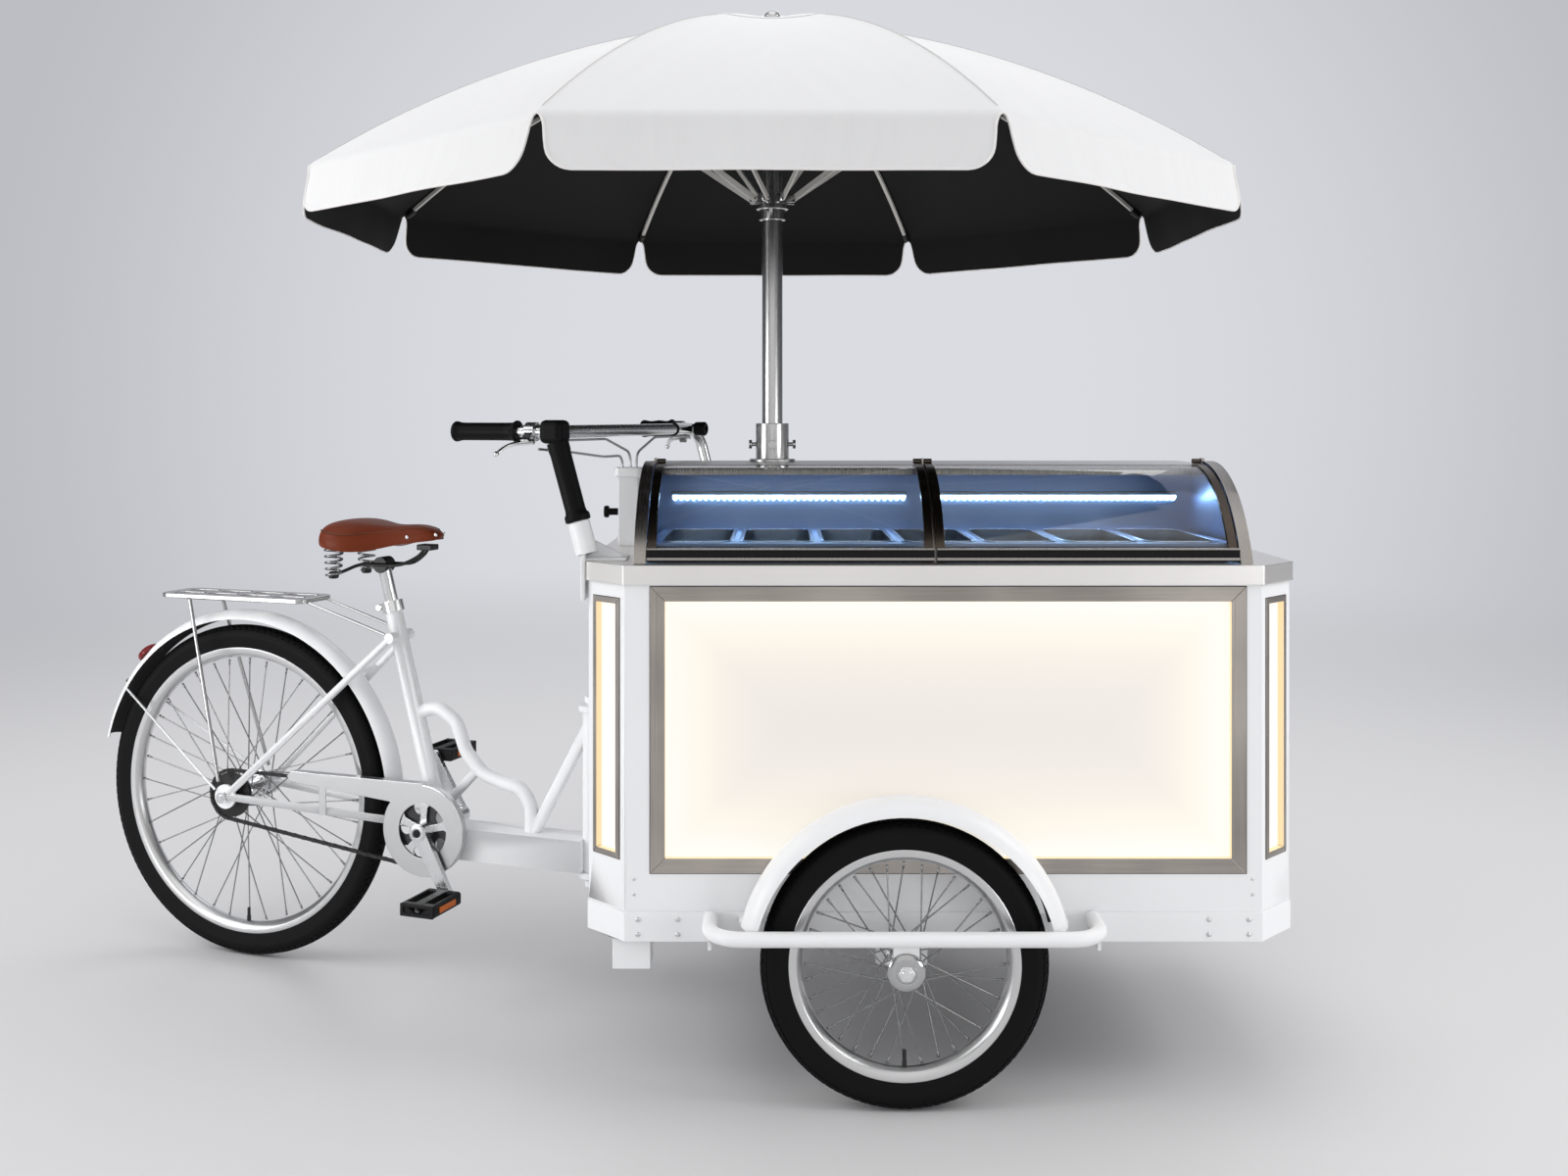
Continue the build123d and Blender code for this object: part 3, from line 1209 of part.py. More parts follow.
# Canopy: eight gores on arcs between the ribs, each with a hanging valance
flat_scale = cos(pi / rib_count)
half_turn = pi / rib_count
gore_profile = [(r * flat_scale, z) for r, z in canopy_profile]
side_half = canopy_radius * sin(half_turn)
wedge_length = canopy_radius + 80.0
wedge_half = wedge_length * sin(half_turn) / cos(half_turn)
valance_top = canopy_profile[2][1] - 1.0
valance_taper = (2.0, 22.0)
valance_corner = 34.0
with BuildPart() as gore:
    with BuildSketch(Plane.XZ):
        arc_strip([(r, z - canopy_sheet / 2) for r, z in gore_profile], canopy_sheet / 2)
    extrude(amount=side_half + 20, both=True)
    with BuildSketch(Plane.XY.offset(valance_bottom)):
        Polygon((0, 0), (wedge_length, -wedge_half), (wedge_length, wedge_half), align=None)
    extrude(amount=canopy_radius, mode=Mode.INTERSECT)
    top_half = side_half - valance_taper[0]
    low_half = side_half - valance_taper[1]
    with BuildSketch(Plane((gore_profile[2][0], 0, 0), x_dir=(0, 1, 0), z_dir=(1, 0, 0))):
        with BuildLine():
            FilletPolyline((-top_half, valance_top), (-low_half, valance_bottom), (low_half, valance_bottom),
                           (top_half, valance_top), radius=valance_corner)
            Line((top_half, valance_top), (-top_half, valance_top))
        make_face()
    extrude(amount=-canopy_sheet)
with BuildPart() as umbrella_canopy:
    with Locations((pole_x, 0, 0)):
        with PolarLocations(0, rib_count):
            add(gore.part)
save(umbrella_canopy, "umbrella_canopy")

# Runner: sleeve on the pole with strut ears and pins
strut_low = rib_half_width + side_gap
strut_width = 4.0
runner_span = (1584.0, 1640.0)
runner_diameter = 54.0
collar_span = (1606.0, 1616.0)
strut_ear = (26.0, 14.0)
with BuildPart() as umbrella_runner:
    rod((pole_x, 0, runner_span[0]), (pole_x, 0, runner_span[1]), runner_diameter)
    rod((pole_x, 0, collar_span[0]), (pole_x, 0, collar_span[1]), runner_diameter + 12)
    for angle in rib_angles:
        with BuildSketch(umbrella_plane(angle, strut_low - 0.5)):
            with Locations((strut_pivot[0] - 6, strut_pivot[1])):
                Rectangle(*strut_ear)
        extrude(amount=6)
        pin_start = umbrella_point(angle, *strut_pivot, 0)
        pin_end = umbrella_point(angle, *strut_pivot, strut_low + strut_width + 1)
        rod(pin_start, pin_end, 2 * pivot_pin_radius)
    rod((pole_x, 0, runner_span[0]), (pole_x, 0, runner_span[1]), 2 * (pole_radius + running_gap),
        Mode.SUBTRACT)
save(umbrella_runner, "umbrella_runner")

# Ribs and struts
for index, angle in enumerate(rib_angles):
    with BuildPart() as rib:
        with BuildSketch(umbrella_plane(angle)):
            arc_strip(rib_profile, 4.0)
            with Locations(rib_pivot):
                Circle(7)
                Circle(pivot_pin_radius + running_gap, mode=Mode.SUBTRACT)
        extrude(amount=rib_half_width, both=True)
    save(rib, f"umbrella_rib_{index + 1}")
    with BuildPart() as strut:
        with BuildSketch(umbrella_plane(angle, strut_low + strut_width)):
            for spot, radius in ((strut_pivot, 6.0), (strut_end, 4.0)):
                with Locations(spot):
                    Circle(radius)
            make_hull()
            with Locations(strut_pivot):
                Circle(pivot_pin_radius + running_gap, mode=Mode.SUBTRACT)
        extrude(amount=strut_width)
    save(strut, f"umbrella_strut_{index + 1}")
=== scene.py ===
"""Looks of the ice cream cart: every finish, and the tyres, spokes, chain, saddle and canopy on the frame."""

import json
import math

import bmesh
import bpy
from mathutils import Matrix, Vector

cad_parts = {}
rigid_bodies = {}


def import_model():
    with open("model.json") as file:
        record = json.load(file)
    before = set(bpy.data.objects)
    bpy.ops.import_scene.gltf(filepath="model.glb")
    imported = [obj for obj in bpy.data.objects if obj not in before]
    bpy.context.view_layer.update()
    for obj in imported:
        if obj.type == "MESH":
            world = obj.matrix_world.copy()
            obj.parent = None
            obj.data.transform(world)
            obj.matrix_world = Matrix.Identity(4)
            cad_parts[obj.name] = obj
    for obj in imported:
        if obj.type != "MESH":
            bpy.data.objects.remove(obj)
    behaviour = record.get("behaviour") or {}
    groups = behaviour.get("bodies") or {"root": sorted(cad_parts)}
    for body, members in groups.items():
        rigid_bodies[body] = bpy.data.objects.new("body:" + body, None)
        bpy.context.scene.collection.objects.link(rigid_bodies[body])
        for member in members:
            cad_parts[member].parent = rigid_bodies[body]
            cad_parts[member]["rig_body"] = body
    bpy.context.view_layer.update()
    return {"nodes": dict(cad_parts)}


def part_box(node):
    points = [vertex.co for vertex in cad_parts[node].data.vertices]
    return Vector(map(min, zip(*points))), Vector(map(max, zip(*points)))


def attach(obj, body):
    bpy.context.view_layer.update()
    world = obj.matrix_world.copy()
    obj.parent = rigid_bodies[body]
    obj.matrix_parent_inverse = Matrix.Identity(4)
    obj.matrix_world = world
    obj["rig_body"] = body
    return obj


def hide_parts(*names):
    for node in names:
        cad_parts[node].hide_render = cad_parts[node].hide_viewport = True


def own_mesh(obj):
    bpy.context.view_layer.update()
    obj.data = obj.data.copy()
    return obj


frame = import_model()

# Studio: a pale satin floor in a pale grey room, lit by large soft lamps above and beside the cart.
# The camera stands level on the cart's right, a little behind its wheels, with its lens shifted down.
# The two low lamps light the cart alone, so that they leave no glare on the floor.
scene = bpy.context.scene
scene.view_settings.view_transform = "Standard"
room_colour = (0.505, 0.512, 0.548)
glow_colour = (0.700, 0.715, 0.755)
floor_colour = (0.785, 0.777, 0.782)
mirror_pale = (0.86, 0.85, 0.84)
mirror_dark = (0.10, 0.10, 0.105)
light_colour = (0.97, 0.98, 1.0)
room_light = 0.66
glow_way = Vector((0.03, 1.0, 0.02)).normalized()
glow_spread = (0.86, 1.0)
floor_radius = 40
floor_fade_run = (2.2, 9.0)
low_fan = 100

lens = bpy.data.cameras.new("photo_lens")
lens.sensor_width = 36.0
lens.lens = 34.875
lens.shift_x = 0.0031
lens.shift_y = -0.1112
eye = bpy.data.objects.new("photo_eye", lens)
eye.location = (0.30375, -3.130, 1.186)
eye.rotation_euler = (math.radians(90), 0, 0)
scene.collection.objects.link(eye)
scene.camera = eye


def soft_lamp(name, spot, aim, width, height, power, fan=180):
    """Large flat lamp at a spot, turned towards the aim; fan is the angle its light spreads over."""
    lamp = bpy.data.lights.new(name, "AREA")
    lamp.shape = "RECTANGLE"
    lamp.size = width
    lamp.size_y = height
    lamp.energy = power
    lamp.spread = math.radians(fan)
    holder = bpy.data.objects.new(name, lamp)
    holder.visible_transmission = False
    holder.location = spot
    holder.rotation_euler = (Vector(aim) - Vector(spot)).to_track_quat("-Z", "Y").to_euler()
    scene.collection.objects.link(holder)
    return holder


soft_lamp("top_lamp", (0.0, -0.6, 4.2), (0, -0.2, 0), 4.0, 3.0, 22)
soft_lamp("left_lamp", (-3.6, -1.0, 3.3), (0, 0, 1.2), 2.6, 2.2, 50)
soft_lamp("right_lamp", (4.3, -1.0, 3.3), (0.4, 0, 1.2), 2.6, 2.2, 62)
low_lamps = [
    soft_lamp("low_left_lamp", (-3.0, -1.7, 0.9), (-0.8, -0.1, 0.60), 2.0, 1.1, 13.0, low_fan),
    soft_lamp("low_right_lamp", (3.2, -2.6, 0.7), (0.7, -0.4, 0.55), 1.6, 0.9, 7.0, low_fan),
]
soft_lamp("back_lamp", (0.5, 3.6, 4.4), (0, 0, 0.8), 3.5, 2.0, 26)


def made_node(tree, kind, values=None, **settings):
    """New node in a tree, with its settings and the values of its inputs."""
    node = tree.nodes.new(kind)
    for label, setting in settings.items():
        setattr(node, label, setting)
    for label, value in (values or {}).items():
        node.inputs[label].default_value = value
    return node


def wired(tree, *routes):
    """Link nodes; each route names a node and its output, then a node and its input."""
    for source, output, target, entry in routes:
        tree.links.new(source.outputs[output], target.inputs[entry])


def eased(tree, low, high):
    """Node that eases from 0 at the low value to 1 at the high one."""
    return made_node(tree, "ShaderNodeMapRange", {"From Min": low, "From Max": high},
                     interpolation_type="SMOOTHSTEP")


def two_tone(tree, first, second):
    """Node that mixes two colours by its factor."""
    return made_node(tree, "ShaderNodeMix", {"A": (*first, 1), "B": (*second, 1)}, data_type="RGBA")


def glow_toward(tree, way, output):
    """Colour of the room, paler where a node's direction points at the glow behind the cart."""
    toward = made_node(tree, "ShaderNodeVectorMath", {1: glow_way}, operation="DOT_PRODUCT")
    spread = eased(tree, *glow_spread)
    backdrop = two_tone(tree, room_colour, glow_colour)
    wired(tree, (way, output, toward, 0), (toward, "Value", spread, "Value"),
          (spread, "Result", backdrop, "Factor"))
    return backdrop


def new_finish(name, values):
    """New material with the values of its surface's inputs; returns it with its tree and its surface."""
    material = bpy.data.materials.new(name)
    material.use_nodes = True
    surface = material.node_tree.nodes["Principled BSDF"]
    for label, value in values.items():
        surface.inputs[label].default_value = value
    return material, material.node_tree, surface


def placed(name, mesh, *finishes):
    """Object at the origin for a finished mesh."""
    for finish in finishes:
        mesh.materials.append(finish)
    piece = bpy.data.objects.new(name, mesh)
    scene.collection.objects.link(piece)
    return piece


def shaped(name, shape, *finishes):
    """Object at the origin from a finished bmesh, with its finishes."""
    mesh = bpy.data.meshes.new(name)
    shape.to_mesh(mesh)
    shape.free()
    return placed(name, mesh, *finishes)


room = bpy.data.worlds.new("grey_room")
room.use_nodes = True
room_tree = room.node_tree
room_tree.nodes.clear()
way = made_node(room_tree, "ShaderNodeTexCoord")
backdrop = glow_toward(room_tree, way, "Generated")
sides = made_node(room_tree, "ShaderNodeSeparateXYZ")
aside = made_node(room_tree, "ShaderNodeMath", operation="ABSOLUTE")
dark_side = eased(room_tree, 0.30, 0.80)
pale_front = eased(room_tree, 0.2, -0.7)
mirror_depth = two_tone(room_tree, room_colour, mirror_pale)
mirror_side = two_tone(room_tree, room_colour, mirror_dark)
ray = made_node(room_tree, "ShaderNodeLightPath")
seen = made_node(room_tree, "ShaderNodeMath", operation="MAXIMUM")
shown = made_node(room_tree, "ShaderNodeBackground")
mirrored = made_node(room_tree, "ShaderNodeBackground")
lighting = made_node(room_tree, "ShaderNodeBackground", {"Color": (*light_colour, 1), "Strength": room_light})
choice = made_node(room_tree, "ShaderNodeMixShader")
mirror_choice = made_node(room_tree, "ShaderNodeMixShader")
room_end = made_node(room_tree, "ShaderNodeOutputWorld")
wired(room_tree, (backdrop, "Result", shown, "Color"), (way, "Generated", sides, "Vector"),
      (sides, "X", aside, 0), (aside, "Value", dark_side, "Value"), (sides, "Y", pale_front, "Value"),
      (pale_front, "Result", mirror_depth, "Factor"), (mirror_depth, "Result", mirror_side, "A"),
      (dark_side, "Result", mirror_side, "Factor"), (mirror_side, "Result", mirrored, "Color"),
      (ray, "Is Camera Ray", seen, 0), (ray, "Is Transmission Ray", seen, 1), (seen, "Value", choice, "Fac"),
      (lighting, "Background", choice, 1), (shown, "Background", choice, 2),
      (ray, "Is Glossy Ray", mirror_choice, "Fac"), (choice, "Shader", mirror_choice, 1),
      (mirrored, "Background", mirror_choice, 2), (mirror_choice, "Shader", room_end, "Surface"))
scene.world = room

satin_floor, floor_tree, floor_face = new_finish("satin_floor", {
    "Base Color": (*floor_colour, 1), "Roughness": 0.38, "Specular IOR Level": 0.3})
floor_place = made_node(floor_tree, "ShaderNodeTexCoord")
floor_reach = made_node(floor_tree, "ShaderNodeVectorMath", operation="LENGTH")
floor_fade = eased(floor_tree, *floor_fade_run)
floor_ray = made_node(floor_tree, "ShaderNodeLightPath")
floor_share = made_node(floor_tree, "ShaderNodeMath", operation="MULTIPLY")
floor_from_eye = made_node(floor_tree, "ShaderNodeVectorMath", {1: eye.location}, operation="SUBTRACT")
floor_way = made_node(floor_tree, "ShaderNodeVectorMath", operation="NORMALIZE")
floor_glow = glow_toward(floor_tree, floor_way, "Vector")
floor_far = made_node(floor_tree, "ShaderNodeEmission")
floor_mix = made_node(floor_tree, "ShaderNodeMixShader")
wired(floor_tree, (floor_place, "Object", floor_reach, 0), (floor_reach, "Value", floor_fade, "Value"),
      (floor_fade, "Result", floor_share, 0), (floor_ray, "Is Camera Ray", floor_share, 1),
      (floor_share, "Value", floor_mix, "Fac"), (floor_face, "BSDF", floor_mix, 1),
      (floor_place, "Object", floor_from_eye, 0), (floor_from_eye, "Vector", floor_way, 0),
      (floor_glow, "Result", floor_far, "Color"), (floor_far, "Emission", floor_mix, 2),
      (floor_mix, "Shader", floor_tree.nodes["Material Output"], "Surface"))
floor_shape = bmesh.new()
bmesh.ops.create_circle(floor_shape, cap_ends=True, segments=96, radius=floor_radius)
studio_floor = shaped("studio_floor", floor_shape, satin_floor)
spared = bpy.data.collections.new("spared_by_low_lamps")
spared.objects.link(studio_floor)
spared.collection_objects[0].light_linking.link_state = "EXCLUDE"
for low_lamp in low_lamps:
    low_lamp.light_linking.receiver_collection = spared

# Chassis: a folded steel rim with cross tubes, wheel hangers, stub feet and the steering lugs.
# Sheet and tube are welded, then powder coated white; dome bolts hold the rim to the cabinet.
grain_depth = 0.0004
weld_gap = 0.00001
flat_turn = math.radians(0.5)


def grained(name, colour, roughness, grain, relief, stretch=(1, 1, 1), metallic=0.0, shade=0.05, gloss=0.5):
    """Finish of one colour with a fine grain in its tint, gloss and relief; stretch sets its direction."""
    material, tree, surface = new_finish(name, {"Metallic": metallic, "Specular IOR Level": gloss})
    place = made_node(tree, "ShaderNodeTexCoord")
    turn = made_node(tree, "ShaderNodeMapping", {"Scale": stretch})
    fine = made_node(tree, "ShaderNodeTexNoise", {"Scale": grain, "Detail": 3.0})
    broad = made_node(tree, "ShaderNodeTexNoise", {"Scale": 5.0})
    tint = two_tone(tree, [c * (1 - shade) for c in colour], [min(1, c * (1 + shade / 2)) for c in colour])
    blend = made_node(tree, "ShaderNodeMath", {1: 0.5}, operation="MULTIPLY_ADD")
    polish = made_node(tree, "ShaderNodeMapRange", {"To Min": roughness[0], "To Max": roughness[1]})
    bump = made_node(tree, "ShaderNodeBump", {"Strength": relief, "Distance": grain_depth})
    wired(tree, (place, "Object", turn, "Vector"), (turn, "Vector", fine, "Vector"),
          (place, "Object", broad, "Vector"), (fine, "Fac", blend, 0), (broad, "Fac", blend, 2),
          (blend, "Value", tint, "Factor"), (tint, "Result", surface, "Base Color"),
          (fine, "Fac", polish, "Value"), (polish, "Result", surface, "Roughness"),
          (fine, "Fac", bump, "Height"), (bump, "Normal", surface, "Normal"))
    return material


def baked(piece):
    """Plain mesh of a piece with its modifiers applied; the piece then has none."""
    mesh = bpy.data.meshes.new_from_object(piece.evaluated_get(bpy.context.evaluated_depsgraph_get()))
    piece.modifiers.clear()
    return mesh


def softened(piece, edge, turn=38, segments=2):
    """Round a piece's sharp edges by a small width, then keep the result as its plain mesh."""
    piece.data.shade_smooth()
    piece.data.set_sharp_from_angle(angle=math.radians(turn))
    if edge:
        bevel = piece.modifiers.new("edge", "BEVEL")
        bevel.limit_method = "ANGLE"
        bevel.angle_limit = math.radians(turn)
        bevel.width = edge
        bevel.segments = segments
        bevel.use_clamp_overlap = False
        bevel.harden_normals = True
        piece.data = baked(piece)
        piece.data.name = piece.name
    return piece


def fitted(piece, body, slot, *nodes):
    """Let a piece ride on a body and stand for the named CAD nodes; slot is not used."""
    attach(piece, body)
    if nodes:
        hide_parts(*nodes)
    return piece


def dressed(node, slot, finishes, edge=0.0, turn=38, choose=None):
    """Clean copy of a CAD node with softened edges; choose picks a face's finish by its middle and normal."""
    cad = frame["nodes"][node]
    shape = bmesh.new()
    shape.from_mesh(cad.data)
    bmesh.ops.remove_doubles(shape, verts=shape.verts, dist=weld_gap)
    bmesh.ops.dissolve_limit(shape, angle_limit=flat_turn, verts=shape.verts, edges=shape.edges)
    for face in shape.faces:
        face.material_index = choose(face.calc_center_median(), face.normal) if choose else 0
    piece = shaped(f"{node}_skin", shape, *finishes)
    softened(piece, edge, turn)
    return fitted(piece, cad["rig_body"], slot, node)


def size_tree(name, *sockets):
    """Geometry tree with named size inputs; returns the tree, its input node and its output node."""
    tree = bpy.data.node_groups.new(name, "GeometryNodeTree")
    for label, kind in (("Seed", "Geometry"), *sockets, ("Finish", "Material")):
        tree.interface.new_socket(label, in_out="INPUT", socket_type=f"NodeSocket{kind}")
    tree.interface.new_socket("Piece", in_out="OUTPUT", socket_type="NodeSocketGeometry")
    return tree, tree.nodes.new("NodeGroupInput"), tree.nodes.new("NodeGroupOutput")


def copied_onto(tree, points, shape, turn, pick=None):
    """Copies of a shape on points, turned, and only where picked; takes and gives outputs of nodes."""
    copies = made_node(tree, "GeometryNodeInstanceOnPoints")
    for label, output in (("Points", points), ("Instance", shape), ("Rotation", turn), ("Selection", pick)):
        if output is not None:
            tree.links.new(output, copies.inputs[label])
    return copies.outputs["Instances"]


def closed_tree(tree, entry, end, source, smooth=True):
    """End of a geometry tree: its copies are made real, smoothed if asked, and take the finish."""
    real = made_node(tree, "GeometryNodeRealizeInstances")
    finish = made_node(tree, "GeometryNodeSetMaterial")
    tree.links.new(source, real.inputs["Geometry"])
    last = real
    if smooth:
        last = made_node(tree, "GeometryNodeSetShadeSmooth")
        wired(tree, (real, "Geometry", last, "Geometry"))
    wired(tree, (last, "Geometry", finish, "Geometry"), (entry, "Finish", finish, "Material"),
          (finish, "Geometry", end, "Piece"))


def grown(name, seed, tree, finish, **sizes):
    """Run a geometry tree on a seed mesh with its sizes set, and keep the result as a plain mesh."""
    carrier = placed(f"{name}_seed", seed)
    step = carrier.modifiers.new("grow", "NODES")
    step.node_group = tree
    sizes["Finish"] = finish
    for socket in tree.interface.items_tree:
        if socket.in_out == "INPUT" and socket.name in sizes:
            step[socket.identifier] = sizes[socket.name]
    mesh = baked(carrier)
    bpy.data.objects.remove(carrier)
    mesh.name = name
    return placed(name, mesh)


def seed_points(spots, **ways):
    """Seed mesh of loose points, with a named direction stored on each."""
    mesh = bpy.data.meshes.new("seed")
    mesh.from_pydata([tuple(spot) for spot in spots], [], [])
    for label, values in ways.items():
        stored = mesh.attributes.new(label, "FLOAT_VECTOR", "POINT")
        stored.data.foreach_set("vector", [c for value in values for c in value])
    return mesh


head_tree, head_in, head_out = size_tree("fixing_heads", ("radius", "Float"), ("height", "Float"))
head_dome = made_node(head_tree, "GeometryNodeMeshUVSphere", {"Segments": 14, "Rings": 8, "Radius": 1.0})
head_size = made_node(head_tree, "ShaderNodeCombineXYZ")
head_flat = made_node(head_tree, "GeometryNodeTransform")
head_facing = made_node(head_tree, "GeometryNodeInputNamedAttribute", {"Name": "facing"},
                        data_type="FLOAT_VECTOR")
head_turn = made_node(head_tree, "FunctionNodeAlignRotationToVector", axis="Z")
wired(head_tree, (head_in, "radius", head_size, "X"), (head_in, "radius", head_size, "Y"),
      (head_in, "height", head_size, "Z"), (head_dome, "Mesh", head_flat, "Geometry"),
      (head_size, "Vector", head_flat, "Scale"), (head_facing, "Attribute", head_turn, "Vector"))
closed_tree(head_tree, head_in, head_out, copied_onto(
    head_tree, head_in.outputs["Seed"], head_flat.outputs["Geometry"], head_turn.outputs["Rotation"]))


def fixing_heads(name, body, spots, finish, slot, radius, height):
    """Dome heads of bolts or rivets at (place, facing) spots."""
    seed = seed_points([spot for spot, facing in spots], facing=[facing for spot, facing in spots])
    return fitted(grown(name, seed, head_tree, finish, radius=radius, height=height), body, slot)


white_coat = grained("white_powder_coat", (0.86, 0.865, 0.875), (0.26, 0.36), 700, 0.05, shade=0.02)
zinc = grained("zinc_fixings", (0.66, 0.67, 0.68), (0.24, 0.36), 400, 0.05, metallic=1.0)
dressed("chassis_frame", "white_paint", [white_coat], edge=0.0012)
cabinet_low, cabinet_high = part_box("cabinet_shell")
rim_proud = 0.002
bolt_heights = (0.276, 0.302)
bolt_inset = 0.095
bolt_gap = 0.070
front_bolt_inset = 0.12
rim_bolts = []
for bolt_x in (cabinet_low.x + bolt_inset, cabinet_low.x + bolt_inset + bolt_gap,
               cabinet_high.x - bolt_inset - bolt_gap, cabinet_high.x - bolt_inset):
    for bolt_z in bolt_heights:
        rim_bolts.append(((bolt_x, cabinet_low.y - rim_proud, bolt_z), (0, -1, 0)))
        rim_bolts.append(((bolt_x, cabinet_high.y + rim_proud, bolt_z), (0, 1, 0)))
for bolt_y in (cabinet_low.y + front_bolt_inset, cabinet_high.y - front_bolt_inset):
    for bolt_z in bolt_heights:
        rim_bolts.append(((cabinet_high.x + rim_proud, bolt_y, bolt_z), (1, 0, 0)))
fixing_heads("rim_bolts", "cart", rim_bolts, zinc, "bright_metal", 0.0045, 0.0026)

# Cabinet: white sheets welded edge to edge round chamfered corners, with lit windows and a rear louvre.
# Blind rivets along the skirt hold it to the chassis rim and the corner posts.
dressed("cabinet_shell", "white_paint", [white_coat], edge=0.0008)
rivet_heights = (0.345, 0.372)
rivet_inset = 0.088
skirt_rivets = []
for rivet_z in rivet_heights:
    for rivet_x in (cabinet_low.x + rivet_inset, cabinet_high.x - rivet_inset):
        skirt_rivets.append(((rivet_x, cabinet_low.y, rivet_z), (0, -1, 0)))
        skirt_rivets.append(((rivet_x, cabinet_high.y, rivet_z), (0, 1, 0)))
fixing_heads("skirt_rivets", "cart", skirt_rivets, zinc, "bright_metal", 0.003, 0.0014)

# Picture frames: brushed stainless strips, 26 mm wide on the large windows, mitred at the corners.
# They stand two millimetres proud of the white sheet, ringed by a thin dark strip of painted shadow, and hold
# the lit panels.
frame_tone = (0.375, 0.345, 0.318)
level_steel = grained("steel_brushed_level", frame_tone, (0.22, 0.38), 1.0, 0.10, (6, 6, 900), 1.0, 0.75)
upright_steel = grained("steel_brushed_upright", frame_tone, (0.22, 0.38), 1.0, 0.10, (900, 900, 6), 1.0,
                        0.75)
# A thin dark strip round each frame on the wall is painted shadow along the frame's edge.
painted_shadow_gap = grained("painted_shadow_gap", (0.07, 0.068, 0.065), (0.5, 0.6), 200, 0.0)
# The frames' inner sides glow warm: painted light standing for the panels' light on the steel.
painted_glow_reveal = grained("painted_glow_reveal", (0.60, 0.45, 0.25), (0.4, 0.5), 40, 0.0, shade=0.02)
painted_glow_face = painted_glow_reveal.node_tree.nodes["Principled BSDF"]
painted_glow_face.inputs["Emission Color"].default_value = (1.0, 0.81, 0.50, 1)
painted_glow_face.inputs["Emission Strength"].default_value = 0.48
window_low_z = 0.382
window_high_z = 0.884
window_mid_z = (window_low_z + window_high_z) / 2
window_height = window_high_z - window_low_z
side_window = (cabinet_low.x + 0.116, cabinet_low.x + 1.159)
corner_run = 0.072
front_margin = 0.046
corner_width = 0.074
corner_margin = 0.022
frame_proud = 0.002
frame_depth = 0.012
frame_play = 0.0005
mitre_gap = 0.00025
shadow_gap_proud = 0.0004
shadow_gap_strip = 0.0026
shadow_gap_past = 0.0028
large_strip = 0.026
corner_strip = 0.010


def wall_basis(middle, angle):
    """Matrix with x along an upright wall, y up and z outwards, at an angle from +X."""
    out = Vector((math.cos(math.radians(angle)), math.sin(math.radians(angle)), 0))
    along = Vector((0, 0, 1)).cross(out)
    basis = Matrix((along, Vector((0, 0, 1)), out)).transposed().to_4x4()
    return Matrix.Translation(middle) @ basis


side_mid_x = sum(side_window) / 2
side_length = side_window[1] - side_window[0]
cabinet_mid_y = (cabinet_low.y + cabinet_high.y) / 2
front_window = cabinet_high.y - cabinet_low.y - 2 * corner_run - 2 * front_margin
windows = [
    (wall_basis((side_mid_x, cabinet_low.y, window_mid_z), -90), side_length, window_height, large_strip),
    (wall_basis((side_mid_x, cabinet_high.y, window_mid_z), 90), side_length, window_height, large_strip),
    (wall_basis((cabinet_high.x, cabinet_mid_y, window_mid_z), 0), front_window, window_height, large_strip),
]
for corner_x, way_x in ((cabinet_low.x, -1), (cabinet_high.x, 1)):
    for corner_y, way_y in ((cabinet_low.y, -1), (cabinet_high.y, 1)):
        middle = (corner_x - way_x * corner_run / 2, corner_y - way_y * corner_run / 2, window_mid_z)
        facing = math.degrees(math.atan2(way_y, way_x))
        corner_height = window_height - 2 * corner_margin
        windows.append((wall_basis(middle, facing), corner_width, corner_height, corner_strip))


def banded(shape, here, there):
    """Faces between two rings of as many points, in order."""
    follow = [*range(1, len(here)), 0]
    return [shape.faces.new((here[point], here[after], there[after], there[point]))
            for point, after in enumerate(follow)]


def mitred_strips(shape, basis, width, height, strip, proud=frame_proud):
    """Add the four strips of one frame: level ones take finish 0, upright ones 1, inner sides 2, which carry
    a painted warm glow.
    """
    half_w, half_h = width / 2 - frame_play, height / 2 - frame_play
    outer = [(-half_w, -half_h), (half_w, -half_h), (half_w, half_h), (-half_w, half_h)]
    inner = [(math.copysign(half_w - strip, x), math.copysign(half_h - strip, y)) for x, y in outer]
    for side in range(4):
        nxt = (side + 1) % 4
        run = (Vector(outer[nxt]) - Vector(outer[side])).normalized() * mitre_gap
        outline = [Vector(outer[side]) + run, Vector(outer[nxt]) - run, Vector(inner[nxt]) - run,
                   Vector(inner[side]) + run]
        back, front = ([shape.verts.new(basis @ Vector((p.x, p.y, depth))) for p in outline]
                       for depth in (proud - frame_depth, proud))
        faces = [shape.faces.new(front), shape.faces.new(back[::-1]), *banded(shape, back, front)]
        for face in faces:
            face.material_index = side % 2
        faces[4].material_index = 2


frame_shape = bmesh.new()
shadow_gap_shape = bmesh.new()
for basis, width, height, strip in windows:
    mitred_strips(frame_shape, basis, width, height, strip)
    mitred_strips(shadow_gap_shape, basis, width + shadow_gap_past, height + shadow_gap_past, shadow_gap_strip, shadow_gap_proud)
for face in shadow_gap_shape.faces:
    face.material_index = 0
fitted(shaped("frame_shadow_gaps", shadow_gap_shape, painted_shadow_gap), "cart", "black_rubber")
picture_frames = shaped("picture_frames", frame_shape, level_steel, upright_steel, painted_glow_reveal)
softened(picture_frames, 0.0007)
fitted(picture_frames, "cart", "stainless", "light_frames")

